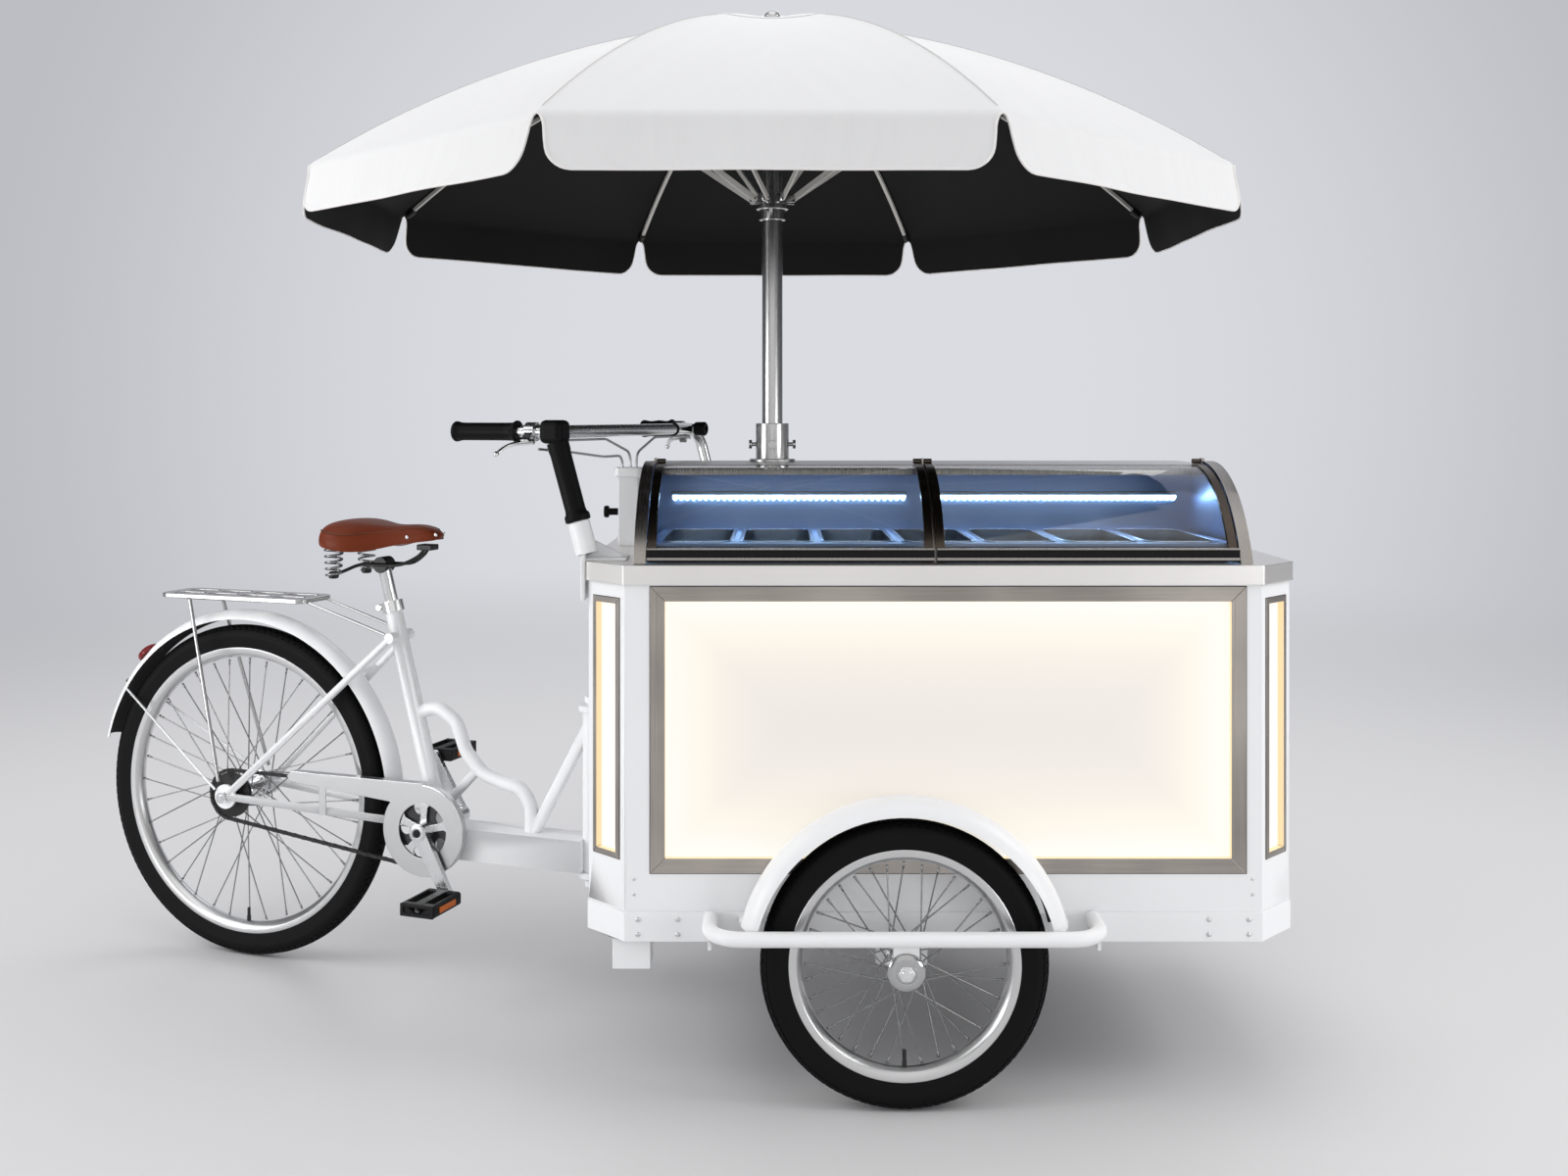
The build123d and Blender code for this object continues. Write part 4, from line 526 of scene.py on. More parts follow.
# Lit panels: opal acrylic sheets behind the frames, lit all round by warm strips at their edges.
# They glow warm white, with a yellower, brighter band along each edge.
panel_thickness = 0.006
panel_play = 0.002
panel_step = 0.015
glow_band = 0.075
opal, opal_tree, opal_face = new_finish("lit_opal_acrylic", {
    "Base Color": (0.34, 0.32, 0.30, 1), "Roughness": 0.35, "Emission Strength": 1.0})
opal_edge = made_node(opal_tree, "ShaderNodeAttribute", attribute_name="edge_glow")
opal_ramp = made_node(opal_tree, "ShaderNodeValToRGB")
opal_ramp.color_ramp.elements[0].color = (0.53, 0.50, 0.485, 1)
opal_ramp.color_ramp.elements[1].color = (0.74, 0.735, 0.705, 1)
opal_ramp.color_ramp.elements.new(0.4).color = (0.67, 0.63, 0.550, 1)
wired(opal_tree, (opal_edge, "Fac", opal_ramp, "Fac"), (opal_ramp, "Color", opal_face, "Emission Color"))


def woven(shape, rows):
    """Faces between neighbouring rows of points."""
    for here, there in zip(rows, rows[1:]):
        for column in range(len(here) - 1):
            shape.faces.new((here[column], there[column], there[column + 1], here[column + 1]))


def lit_sheet(shape, glow, basis, width, height, strip):
    """Add one panel: a finely divided front sheet with its glow kept by vertex, and a plain back and rim."""
    half_w, half_h = width / 2 - panel_play, height / 2 - panel_play
    clear_w, clear_h = width / 2 - strip, height / 2 - strip
    columns = max(6, round(width / panel_step))
    rows = max(6, round(height / panel_step))
    front = frame_proud - frame_depth
    grid = []
    for row in range(rows + 1):
        line = []
        for column in range(columns + 1):
            x = -half_w + 2 * half_w * column / columns
            y = -half_h + 2 * half_h * row / rows
            vert = shape.verts.new(basis @ Vector((x, y, front)))
            gap = max(0.0, min(clear_w - abs(x), clear_h - abs(y)))
            vert[glow] = math.exp(-gap / glow_band)
            line.append(vert)
        grid.append(line)
    woven(shape, [line[::-1] for line in grid])
    rim = grid[0] + [line[-1] for line in grid[1:]] + grid[-1][-2::-1] + [line[0] for line in grid[-2:0:-1]]
    inward = basis.to_3x3() @ Vector((0, 0, -panel_thickness))
    back = [shape.verts.new(vert.co + inward) for vert in rim]
    banded(shape, back, rim)
    shape.faces.new(back[::-1])


panel_shape = bmesh.new()
panel_glow = panel_shape.verts.layers.float.new("edge_glow")
for basis, width, height, strip in windows:
    lit_sheet(panel_shape, panel_glow, basis, width, height, strip)
lit_panels = shaped("lit_panels", panel_shape, opal)
fitted(lit_panels, "cart", "lit_acrylic", "light_panels")

# Countertop: one folded sheet of brushed stainless over the cabinet, its edge turned down 34 mm.
# Its brushing runs along the cart.
counter_steel = grained("counter_steel", (0.94, 0.925, 0.905), (0.26, 0.38), 1.0, 0.06, (4, 800, 800), 1.0,
                        0.06)
dressed("countertop", "stainless", [counter_steel], edge=0.0011)

# Display housing: brushed steel end arches and a middle arch, a deck over the lids, inner and rear walls.
# Folded stainless throughout; the hollow that holds the pans shows its bright inner walls, tinted blue with
# painted light from the cold strips.
arch_steel = grained("arch_steel", (0.42, 0.395, 0.37), (0.20, 0.34), 1.0, 0.08, (900, 8, 8), 1.0, 0.10)
# The inner walls are tinted blue: painted light from the cold strips, cast on plain steel.
painted_blue_light_steel = grained("painted_blue_light_steel", (0.31, 0.41, 0.62), (0.30, 0.45), 1.0, 0.05, (5, 500, 500), 1.0, 0.06)
deck_steel = grained("deck_steel", (0.70, 0.70, 0.705), (0.30, 0.42), 1.0, 0.06, (5, 800, 800), 1.0, 0.06)
housing_low, housing_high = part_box("display_housing")
arch_middle = (-0.1935, 0.8226)
arch_inside = 0.2565
arch_back_y = arch_middle[0] + 0.006
deck_low_z = 1.084
wall_skin = 0.001


def housing_finish(middle, normal):
    """Arches, deck and outside walls each take their own steel; the inside of the display takes steel tinted
    with painted blue light.
    """
    radius = math.hypot(middle.y - arch_middle[0], middle.z - arch_middle[1])
    if middle.y < arch_back_y and radius > arch_inside:
        return 0
    if middle.z > deck_low_z:
        return 2
    inside_x = housing_low.x + wall_skin < middle.x < housing_high.x - wall_skin
    return 1 if inside_x and middle.y < 0.0 else 2


dressed("display_housing", "stainless", [arch_steel, painted_blue_light_steel, deck_steel], edge=0.0006,
        choose=housing_finish)

# Lids: curved glass in dark bronze sashes, hinged at the deck, with a black rail along the counter.
# Two thin steel trims run along each rail.
bronze = grained("dark_bronze", (0.105, 0.085, 0.07), (0.18, 0.30), 1.0, 0.05, (700, 8, 8), 1.0, 0.15)
black_rail = grained("black_rail", (0.008, 0.008, 0.009), (0.18, 0.28), 300, 0.02, gloss=0.16)
clear_glass = new_finish("clear_curved_glass", {
    "Base Color": (0.96, 0.985, 0.99, 1), "Roughness": 0.015, "IOR": 1.46, "Transmission Weight": 1.0})[0]
lid_runs = {"rear": (0.06875, 0.57875), "front": (0.58275, 1.11875)}
lid_rail_top = 0.948
lid_rail_back_y = -0.43
rail_front_y = -0.446
trim_bands = ((0.9268, 0.9312), (0.9452, 0.9478))
trim_thickness = 0.0012
trim_out = 0.0004
trim_short = 0.001


def sash_finish(middle, normal):
    """The bottom rail is black with a bright top edge; arches and top rail are bronze."""
    if middle.z > lid_rail_top + 0.0005 or middle.y > lid_rail_back_y:
        return 0
    return 2 if middle.z > lid_rail_top - 0.002 else 1


def boxed(shape, middle, size, turn=Matrix()):
    """Add a box of a size round its middle, turned if asked."""
    made = bmesh.ops.create_cube(shape, size=1.0)["verts"]
    bmesh.ops.transform(shape, verts=made,
                        matrix=Matrix.Translation(middle) @ turn @ Matrix.Diagonal((*size, 1)))


for lid in lid_runs:
    dressed(f"lid_sash_{lid}", "bronze", [bronze, black_rail, counter_steel], edge=0.0008, choose=sash_finish)
    dressed(f"lid_glass_{lid}", "glass", [clear_glass])
for lid, (lid_rear_x, lid_front_x) in lid_runs.items():
    trim = bmesh.new()
    for low_z, high_z in trim_bands:
        boxed(trim, ((lid_rear_x + lid_front_x) / 2, rail_front_y - trim_out, (low_z + high_z) / 2),
              (lid_front_x - lid_rear_x - trim_short, trim_thickness, high_z - low_z))
    fitted(shaped(f"rail_trim_{lid}", trim, arch_steel), f"lid_{lid}", "stainless")

# Freezer: a stainless tub with ledges and divider bars, seven deep-drawn pans, and light strips behind.
# The pans hang between the bars by their rolled rims.
pan_steel = grained("pan_steel", (0.86, 0.89, 0.94), (0.12, 0.20), 1.0, 0.02, (60, 60, 700), 1.0, 0.03)
# The liner takes the same blue-tinted steel, painted light from the strips.
dressed("freezer_liner", "stainless", [painted_blue_light_steel], edge=0.0006)
dressed("ice_cream_pans", "stainless", [pan_steel], edge=0.0009)
cold_light = new_finish("cold_light_strip", {
    "Base Color": (0.80, 0.88, 1.0, 1), "Emission Color": (0.50, 0.74, 1.0, 1), "Emission Strength": 26.0})[0]
strip_grey = grained("strip_grey", (0.30, 0.33, 0.38), (0.35, 0.5), 60, 0.0, metallic=1.0, shade=0.03)
strip_front_y = -0.060
strip_low_z = 1.016
strip_runs = ((0.08675, 0.56075), (0.62275, 1.10675))
diode_pitch = 0.0125
dressed("led_strips", "light_strip", [strip_grey], edge=0.0005)
diodes = []
lens_shape = bmesh.new()
for strip_rear, strip_front in strip_runs:
    strip_length = strip_front - strip_rear
    count = round(strip_length / diode_pitch)
    for step in range(count):
        diodes.append(((strip_rear + (step + 0.5) * strip_length / count, strip_front_y + 0.003,
                        strip_low_z - 0.001), (0, 0, -1)))
    boxed(lens_shape, ((strip_rear + strip_front) / 2, strip_front_y + 0.0005, strip_low_z + 0.0035),
          (strip_length - 0.004, 0.003, 0.0060))
fitted(shaped("strip_lenses", lens_shape, cold_light), "cart", "light_strip")
fixing_heads("strip_diodes", "cart", diodes, cold_light, "light_strip", 0.0032, 0.0034)

# Cooling unit: compressor, condenser with its fan, and a battery box.
# It stands on the cabinet floor, out of sight.
machine_black = grained("machine_black", (0.05, 0.05, 0.055), (0.35, 0.5), 250, 0.08)
dressed("cooling_unit", "machinery", [machine_black], edge=0.002)

# Front wheels: black block-tread tyres on silver rims, each laced with 36 spokes to a flanged hub.
# They turn on plated stub axles between the chassis and the rail brackets, held by hex nuts.
silver = grained("satin_silver", (0.74, 0.75, 0.76), (0.20, 0.32), 300, 0.03, metallic=1.0, shade=0.04)
chrome = grained("bright_plating", (0.80, 0.81, 0.82), (0.07, 0.13), 200, 0.01, metallic=1.0, shade=0.03)
rim_silver = grained("rim_silver", (0.66, 0.665, 0.67), (0.26, 0.32), 60, 0.0, metallic=1.0, shade=0.02)
spoke_steel = grained("spoke_steel", (0.30, 0.30, 0.305), (0.22, 0.30), 200, 0.0, metallic=1.0, shade=0.02)
tyre_rubber = grained("tyre_rubber", (0.005, 0.005, 0.0055), (0.50, 0.66), 500, 0.12, shade=0.2, gloss=0.10)
hub_black = grained("hub_black", (0.012, 0.012, 0.013), (0.28, 0.40), 300, 0.05, gloss=0.35)
wheel_steps = 144
spoke_count = 36
spoke_radius = 0.0014
spoke_lead = math.radians(62)
spoke_cross = 0.0016
spoke_end_off = 0.003
bead_depth = 0.050
bead_half = (0.0166, 0.0120)
tyre_wall = 0.0055
ridge_height = 0.0006
rim_depth = 0.0215
tread_height = 0.0018
tread_tilts = (-46, -23, 0, 23, 46)
tread_size = (0.0125, 0.0062, tread_height)
tread_sink = 0.0002
valve_outline = [(0.0, -0.002), (0.0042, -0.002), (0.0042, 0.008), (0.0034, 0.011), (0.0034, 0.026),
                 (0.0026, 0.028), (0.0, 0.0285)]


def axle_basis(centre, axle):
    """Matrix with z along an axle and x as far up as it can be, at its middle."""
    along = Vector(axle).normalized()
    across = along.cross(Vector((0, 0, 1)) if abs(along.z) < 0.99 else Vector((1, 0, 0))).normalized()
    return Matrix.Translation(centre) @ Matrix((across.cross(along), across, along)).transposed().to_4x4()


def turned(shape, outline, steps, finish=0):
    """Add a ring turned about the z axis from a closed outline of (radius, along) points."""
    rows = []
    for step in range(steps):
        angle = 2 * math.pi * step / steps
        rows.append([shape.verts.new((r * math.cos(angle), r * math.sin(angle), z)) for r, z in outline])
    for step in range(steps):
        for face in banded(shape, rows[step], rows[(step + 1) % steps]):
            face.material_index = finish


def settled(name, shape, basis, *finishes, edge=0.0, turn=38):
    """Finish a turned shape: faces outwards, edges softened, moved to its place."""
    bmesh.ops.remove_doubles(shape, verts=shape.verts, dist=0.000001)
    bmesh.ops.recalc_face_normals(shape, faces=shape.faces)
    shape.transform(basis)
    return softened(shaped(name, shape, *finishes), edge, turn)


def lathed(name, body, slot, basis, finish, outline, steps=40, turn=38, stands_for=()):
    """Piece turned from one outline about its basis, on a body."""
    shape = bmesh.new()
    turned(shape, outline, steps)
    return fitted(settled(name, shape, basis, finish, turn=turn), body, slot, *stands_for)


def tyre_outline(radius, width):
    """Section of a tyre from bead to bead: crown, sidewalls with a moulded ridge, and the inner wall."""
    tube = width / 2
    middle = radius - tube
    bead = radius - bead_depth
    outside, inside = [(bead, -bead_half[0])], [(bead, -bead_half[1])]
    for step in range(29):
        angle = math.radians(-108 + 216 * step / 28)
        ridge = ridge_height * math.exp(-((abs(math.degrees(angle)) - 84) / 5) ** 2)
        reach = tube - tread_height + ridge
        outside.append((middle + reach * math.cos(angle), reach * math.sin(angle)))
        inside.append((middle + (tube - tyre_wall) * math.cos(angle), (tube - tyre_wall) * math.sin(angle)))
    return outside + [(bead, bead_half[0]), (bead, bead_half[1])] + inside[:0:-1] + inside[:1]


def rim_outline(bead):
    """Section of a rim: rolled lips, side walls, a shallow well outside and a rounded crown inside."""
    half = [(bead - 0.0080, 0.0040), (bead - 0.0060, 0.0120), (bead - 0.0010, 0.0140),
            (bead + 0.0008, 0.0155), (bead + 0.0014, 0.0166), (bead, 0.0174), (bead - 0.0105, 0.0170),
            (bead - 0.0120, 0.0162), (bead - 0.0160, 0.0118), (bead - 0.0195, 0.0064),
            (bead - 0.0210, 0.0028)]
    return half + [(bead - rim_depth, 0.0)] + [(r, -z) for r, z in half[::-1]] + [(bead - 0.0085, 0.0)]


tread_tree, tread_in, tread_out = size_tree(
    "tread_blocks", ("middle", "Float"), ("tube", "Float"), ("blocks", "Int"), ("block", "Vector"))
tread_join = made_node(tread_tree, "GeometryNodeJoinGeometry")
tread_block = made_node(tread_tree, "GeometryNodeMeshCube")
wired(tread_tree, (tread_in, "block", tread_block, "Size"))
for row, tilt in enumerate(math.radians(degrees) for degrees in tread_tilts):
    row_radius = made_node(tread_tree, "ShaderNodeMath", {1: math.cos(tilt)}, operation="MULTIPLY_ADD")
    row_along = made_node(tread_tree, "ShaderNodeMath", {1: math.sin(tilt)}, operation="MULTIPLY")
    row_shift = made_node(tread_tree, "ShaderNodeCombineXYZ")
    row_phase = made_node(tread_tree, "ShaderNodeMath", {0: math.pi * (row % 2)}, operation="DIVIDE")
    row_spin = made_node(tread_tree, "ShaderNodeCombineXYZ")
    row_circle = made_node(tread_tree, "GeometryNodeMeshCircle")
    row_move = made_node(tread_tree, "GeometryNodeTransform")
    row_place = made_node(tread_tree, "GeometryNodeInputPosition")
    row_flat = made_node(tread_tree, "ShaderNodeVectorMath", {1: (1, 1, 0)}, operation="MULTIPLY")
    row_unit = made_node(tread_tree, "ShaderNodeVectorMath", operation="NORMALIZE")
    row_out = made_node(tread_tree, "ShaderNodeVectorMath",
                        {1: (math.cos(tilt),) * 3, 2: (0, 0, math.sin(tilt))}, operation="MULTIPLY_ADD")
    row_stand = made_node(tread_tree, "FunctionNodeAlignRotationToVector", axis="Z", pivot_axis="AUTO")
    row_turn = made_node(tread_tree, "FunctionNodeAlignRotationToVector", {"Vector": (0, 0, 1)}, axis="Y",
                         pivot_axis="Z")
    wired(tread_tree, (tread_in, "tube", row_radius, 0), (tread_in, "middle", row_radius, 2),
          (tread_in, "tube", row_along, 0), (row_along, 0, row_shift, "Z"),
          (tread_in, "blocks", row_phase, 1), (row_phase, 0, row_spin, "Z"),
          (tread_in, "blocks", row_circle, "Vertices"),
          (row_radius, 0, row_circle, "Radius"), (row_circle, "Mesh", row_move, "Geometry"),
          (row_shift, "Vector", row_move, "Translation"), (row_spin, "Vector", row_move, "Rotation"),
          (row_place, "Position", row_flat, 0), (row_flat, "Vector", row_unit, 0),
          (row_unit, "Vector", row_out, 0), (row_out, "Vector", row_stand, "Vector"),
          (row_stand, "Rotation", row_turn, "Rotation"))
    row_copies = copied_onto(tread_tree, row_move.outputs["Geometry"], tread_block.outputs["Mesh"],
                             row_turn.outputs["Rotation"])
    tread_tree.links.new(row_copies, tread_join.inputs["Geometry"])
closed_tree(tread_tree, tread_in, tread_out, tread_join.outputs["Geometry"], smooth=False)


def tyre(name, body, node, centre, axle, radius, width, blocks):
    """Turned tyre carcass with rows of tread blocks standing on its crown."""
    basis = axle_basis(centre, axle)
    lathed(name, body, "tyre_rubber", basis, tyre_rubber, tyre_outline(radius, width), wheel_steps,
           stands_for=[node])
    tube = width / 2
    tread = grown(f"{name}_tread", bpy.data.meshes.new("seed"), tread_tree, tyre_rubber, middle=radius - tube,
                  tube=tube - tread_height / 2 - tread_sink, blocks=blocks, block=tread_size)
    tread.data.transform(basis)
    fitted(tread, body, "tyre_rubber")


spoke_tree, spoke_in, spoke_out = size_tree("wheel_spokes", ("wire", "Float"))
spoke_line = made_node(spoke_tree, "GeometryNodeMeshToCurve")
spoke_ring = made_node(spoke_tree, "GeometryNodeCurvePrimitiveCircle", {"Resolution": 8})
spoke_wire = made_node(spoke_tree, "GeometryNodeCurveToMesh", {"Fill Caps": True})
nipple_way = made_node(spoke_tree, "GeometryNodeInputNamedAttribute", {"Name": "nipple"},
                       data_type="FLOAT_VECTOR")
nipple_there = made_node(spoke_tree, "ShaderNodeVectorMath", operation="LENGTH")
nipple_pick = made_node(spoke_tree, "FunctionNodeCompare", {"B": 0.5}, data_type="FLOAT",
                        operation="GREATER_THAN")
nipple_shape = made_node(spoke_tree, "GeometryNodeMeshCone", {
    "Vertices": 8, "Radius Top": 0.0017, "Radius Bottom": 0.0026, "Depth": 0.013})
nipple_turn = made_node(spoke_tree, "FunctionNodeAlignRotationToVector", axis="Z")
spoke_join = made_node(spoke_tree, "GeometryNodeJoinGeometry")
wired(spoke_tree, (spoke_in, "Seed", spoke_line, "Mesh"), (spoke_in, "wire", spoke_ring, "Radius"),
      (spoke_line, "Curve", spoke_wire, "Curve"), (spoke_ring, "Curve", spoke_wire, "Profile Curve"),
      (nipple_way, "Attribute", nipple_there, 0), (nipple_there, "Value", nipple_pick, "A"),
      (nipple_way, "Attribute", nipple_turn, "Vector"), (spoke_wire, "Mesh", spoke_join, "Geometry"))
nipples = copied_onto(spoke_tree, spoke_in.outputs["Seed"], nipple_shape.outputs["Mesh"],
                      nipple_turn.outputs["Rotation"], nipple_pick.outputs["Result"])
spoke_tree.links.new(nipples, spoke_join.inputs["Geometry"])
closed_tree(spoke_tree, spoke_in, spoke_out, spoke_join.outputs["Geometry"])


def strung(mesh, ends):
    """Join points of a seed mesh by edges, each given by its two ends."""
    mesh.edges.add(len(ends))
    mesh.edges.foreach_set("vertices", [end for pair in ends for end in pair])
    return mesh


def laced_wheel(name, body, node, centre, axle, bead, hub_parts, flange):
    """Rim, hub and crossed spokes of one wheel; flange is the radius and offset of the spoke holes."""
    basis = axle_basis(centre, axle)
    lathed(f"{name}_rim", body, "bright_metal", basis, rim_silver, rim_outline(bead), wheel_steps, 30, [node])
    hub = bmesh.new()
    for outline, finish in hub_parts:
        turned(hub, outline, 48, finish)
    fitted(settled(f"{name}_hub", hub, basis, chrome, hub_black, edge=0.0005), body, "bright_metal")
    spots, ways, wires = [], [], []
    rim_reach = bead - rim_depth - spoke_end_off
    for index in range(spoke_count):
        side = 1 if index % 2 else -1
        lead = 1 if index % 4 < 2 else -1
        angle = 2 * math.pi * index / spoke_count
        hub_angle = angle + lead * spoke_lead
        hub_end = Vector((flange[0] * math.cos(hub_angle), flange[0] * math.sin(hub_angle),
                          side * (flange[1] + lead * spoke_cross)))
        rim_end = Vector((rim_reach * math.cos(angle), rim_reach * math.sin(angle), side * spoke_end_off))
        wires.append((len(spots), len(spots) + 1))
        spots += [hub_end, rim_end]
        ways += [Vector(), (hub_end - rim_end).normalized()]
    seed = strung(seed_points(spots, nipple=ways), wires)
    spokes = grown(f"{name}_spokes", seed, spoke_tree, spoke_steel, wire=spoke_radius)
    spokes.data.transform(basis)
    fitted(spokes, body, "bright_metal")
    foot = basis @ Vector((rim_depth - bead, 0.0, 0.0))
    lathed(f"{name}_valve", body, "bright_metal", axle_basis(foot, Vector(centre) - foot), hub_black,
           valve_outline, 16)


front_radius = 0.247
front_width = 0.048
front_flange = (0.0265, 0.0275)
front_hub_half = [(0.0165, 0.018), (0.0180, 0.0250), (0.0300, 0.0265), (0.0300, 0.0285), (0.0290, 0.0300),
                  (0.0150, 0.031), (0.0150, 0.034), (0.0125, 0.036), (0.0081, 0.036)]
front_hub = [([(r, -z) for r, z in front_hub_half[::-1]] + front_hub_half, 0)]
dressed("front_axles", "chrome", [chrome], edge=0.0008)
for side, way in (("right", -1), ("left", 1)):
    wheel = f"front_wheel_{side}"
    tyre_low, tyre_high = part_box(f"front_tyre_{side}")
    wheel_centre = (tyre_low + tyre_high) / 2
    tyre(f"front_tyre_{side}_body", wheel, f"front_tyre_{side}", wheel_centre, (0, way, 0), front_radius,
         front_width, 96)
    laced_wheel(wheel, wheel, wheel, wheel_centre, (0, way, 0), front_radius - bead_depth, front_hub,
                front_flange)

# Guard rails and front mudguards: bent white tube round each wheel, and an arched white sheet over it.
# A large domed washer under each axle nut holds the rail's bracket to the stub axle.
# The side of each mudguard that faces its wheel takes a dark finish: painted shade.
guard_painted_shade = grained("guard_painted_shade", (0.035, 0.035, 0.037), (0.5, 0.65), 300, 0.05, gloss=0.15)
dome_steel = grained("dome_steel", (0.50, 0.505, 0.51), (0.10, 0.16), 60, 0.0, metallic=1.0, shade=0.03)
front_spot = Vector((0.51775, 0.0, front_radius))
washer_reach = 0.104
washer_outline = [(0.0082, 0.0002), (0.0315, 0.0002), (0.0322, 0.0016), (0.0310, 0.0034), (0.0250, 0.0056),
                  (0.0190, 0.0066), (0.0176, 0.0062), (0.0170, 0.0050), (0.0082, 0.0050)]


def guard_shade_chooser(centre, axle):
    """Chooser for an arched sheet about an axle: the side that faces the wheel is painted dark as shade."""
    def inside(middle, normal):
        out = middle - centre
        out = (out - axle * out.dot(axle)).normalized()
        return 1 if normal.dot(out) < -0.25 else 0
    return inside


dressed("guard_rails", "white_paint", [white_coat])
dressed("front_mudguards", "white_paint", [white_coat, guard_painted_shade],
        choose=guard_shade_chooser(front_spot, Vector((0, 1, 0))))
for label, face_y, way in (("near", cabinet_low.y - washer_reach, -1),
                           ("far", cabinet_high.y + washer_reach, 1)):
    washer_basis = axle_basis((front_spot.x, face_y, front_radius), (0, way, 0))
    lathed(f"axle_washer_{label}", "cart", "chrome", washer_basis, dome_steel, washer_outline, 56)

# Rear frame: white tubes brazed to the head tube, bottom bracket and dropouts, with the steering beam.
# The mudguard, its wire stays and the luggage rack are bolted to the dropouts and the seat tube bridge.
rack_silver = grained("rack_silver", (0.50, 0.50, 0.505), (0.24, 0.34), 60, 0.0, metallic=1.0, shade=0.03)
reflector_red = grained("reflector_red", (0.16, 0.006, 0.008), (0.08, 0.15), 600, 0.25, shade=0.25)
rest_yaw = math.radians(20)
bike_back = Vector((-math.cos(rest_yaw), math.sin(rest_yaw), 0))
bike_right = Vector((-math.sin(rest_yaw), -math.cos(rest_yaw), 0))
bike_turn = Matrix((bike_back, bike_right, Vector((0, 0, 1)))).transposed().to_4x4()
steer_spot = Vector((-0.07125, -0.074, 0))
rear_radius = 0.361
hub_spot = (0.843, rear_radius)
collar_low_z = 0.7655
nut_low_w = 0.0782
nut_reach = 0.02
guard_radius = 0.395
collar_half = [(0.0040, 0.005), (0.0070, 0.006), (0.0070, 0.012), (0.0055, 0.014), (0.0, 0.014)]
collar_outline = [(r, -z) for r, z in collar_half[::-1]] + collar_half
reflector_outline = [(0.0, -0.004), (0.0250, -0.004), (0.0260, 0.002), (0.0235, 0.0065), (0.0160, 0.0105),
                     (0.0080, 0.0125), (0.0, 0.0130)]
tail_bolt_outline = [(0.0, -0.002), (0.0060, -0.002), (0.0060, 0.004), (0.0045, 0.0065), (0.0, 0.0070)]


def bike(t, w, z):
    """Point of the bicycle half: behind the steering axis, to its right, and height."""
    return steer_spot + bike_back * t + bike_right * w + Vector((0, 0, z))


def frame_finish(middle, normal):
    """The clamp collar at the top of the seat tube and the axle nuts are plated; all else is white."""
    right = abs((middle - steer_spot).dot(bike_right))
    reach = math.hypot((middle - steer_spot).dot(bike_back) - hub_spot[0], middle.z - hub_spot[1])
    return 1 if middle.z > collar_low_z or (right > nut_low_w and reach < nut_reach) else 0


rear_spot = bike(hub_spot[0], 0, hub_spot[1])
dressed("rear_frame", "white_paint", [white_coat, chrome], choose=frame_finish)
dressed("rear_mudguard", "white_paint", [white_coat, guard_painted_shade],
        choose=guard_shade_chooser(rear_spot, bike_right))
dressed("luggage_rack", "bright_metal", [rack_silver], edge=0.0020)
lathed("collar_bolt", "rear_frame", "chrome", axle_basis(bike(0.4985, 0, 0.775), bike_right), chrome,
       collar_outline, 24)
for name, degrees, outline, finish in (("tail_reflector", 46, reflector_outline, reflector_red),
                                       ("tail_bolt", 33, tail_bolt_outline, hub_black)):
    out = bike_back * math.cos(math.radians(degrees)) + Vector((0, 0, math.sin(math.radians(degrees))))
    tail_basis = axle_basis(rear_spot + out * guard_radius, out)
    lathed(name, "rear_frame", "black_plastic", tail_basis, finish, outline)

# Rear wheel: a larger tyre on the same kind of rim, laced to a geared hub with a black sprocket.
# The sprocket is on the right, under the chain.
rear_width = 0.047
rear_flange = (0.0325, 0.0320)
rear_hub = [
    ([(0.0061, -0.044), (0.0140, -0.044), (0.0180, -0.041), (0.0200, -0.034), (0.0350, -0.0335),
      (0.0360, -0.032), (0.0350, -0.0305), (0.0260, -0.0290), (0.0245, 0.0), (0.0260, 0.0290),
      (0.0350, 0.0305), (0.0360, 0.032), (0.0350, 0.0335), (0.0240, 0.0345), (0.0240, 0.0500),
      (0.0061, 0.0500)], 0),
    ([(0.0061, 0.0500), (0.0484, 0.0535), (0.0484, 0.0575), (0.0300, 0.0580), (0.0180, 0.0600),
      (0.0061, 0.0600)], 1),
]
tyre("rear_tyre_body", "rear_wheel", "rear_tyre", rear_spot, bike_right, rear_radius, rear_width, 136)
laced_wheel("rear_wheel", "rear_wheel", "rear_wheel", rear_spot, bike_right, rear_radius - bead_depth,
            rear_hub, rear_flange)

# Drive: a satin case over the upper run, a black roller chain, a spoked chainring with two arms, and pedals.
# The chain is riveted plates and rollers at a 12.7 mm pitch round 40 and 26 teeth.
case_steel = grained("case_steel", (0.60, 0.605, 0.61), (0.26, 0.40), 1.0, 0.05, (12, 12, 500), 1.0, 0.05)
chain_black = grained("oiled_chain", (0.035, 0.034, 0.034), (0.30, 0.45), 400, 0.1, metallic=0.6)
ring_shadow = grained("ring_shadow", (0.05, 0.05, 0.052), (0.30, 0.45), 300, 0.05, metallic=0.6)
pedal_black = grained("pedal_black", (0.010, 0.010, 0.011), (0.40, 0.55), 350, 0.1, gloss=0.18)
reflector_orange = grained("reflector_orange", (0.55, 0.12, 0.008), (0.12, 0.2), 500, 0.2, shade=0.2)
crank_spot = (0.355, 0.330)
chain_w = 0.056
chain_pitch = 0.0127
chain_links = 110
ring_radius = 0.0809
sprocket_radius = 0.0527
roller_length = 0.0052
plate_size = (0.0090, 0.0036, 0.0010)
plate_gaps = {"inner gap": (0, 0, 0.0021), "outer gap": (0, 0, 0.0032)}
dressed("chain_case", "bright_metal", [case_steel], edge=0.0009)

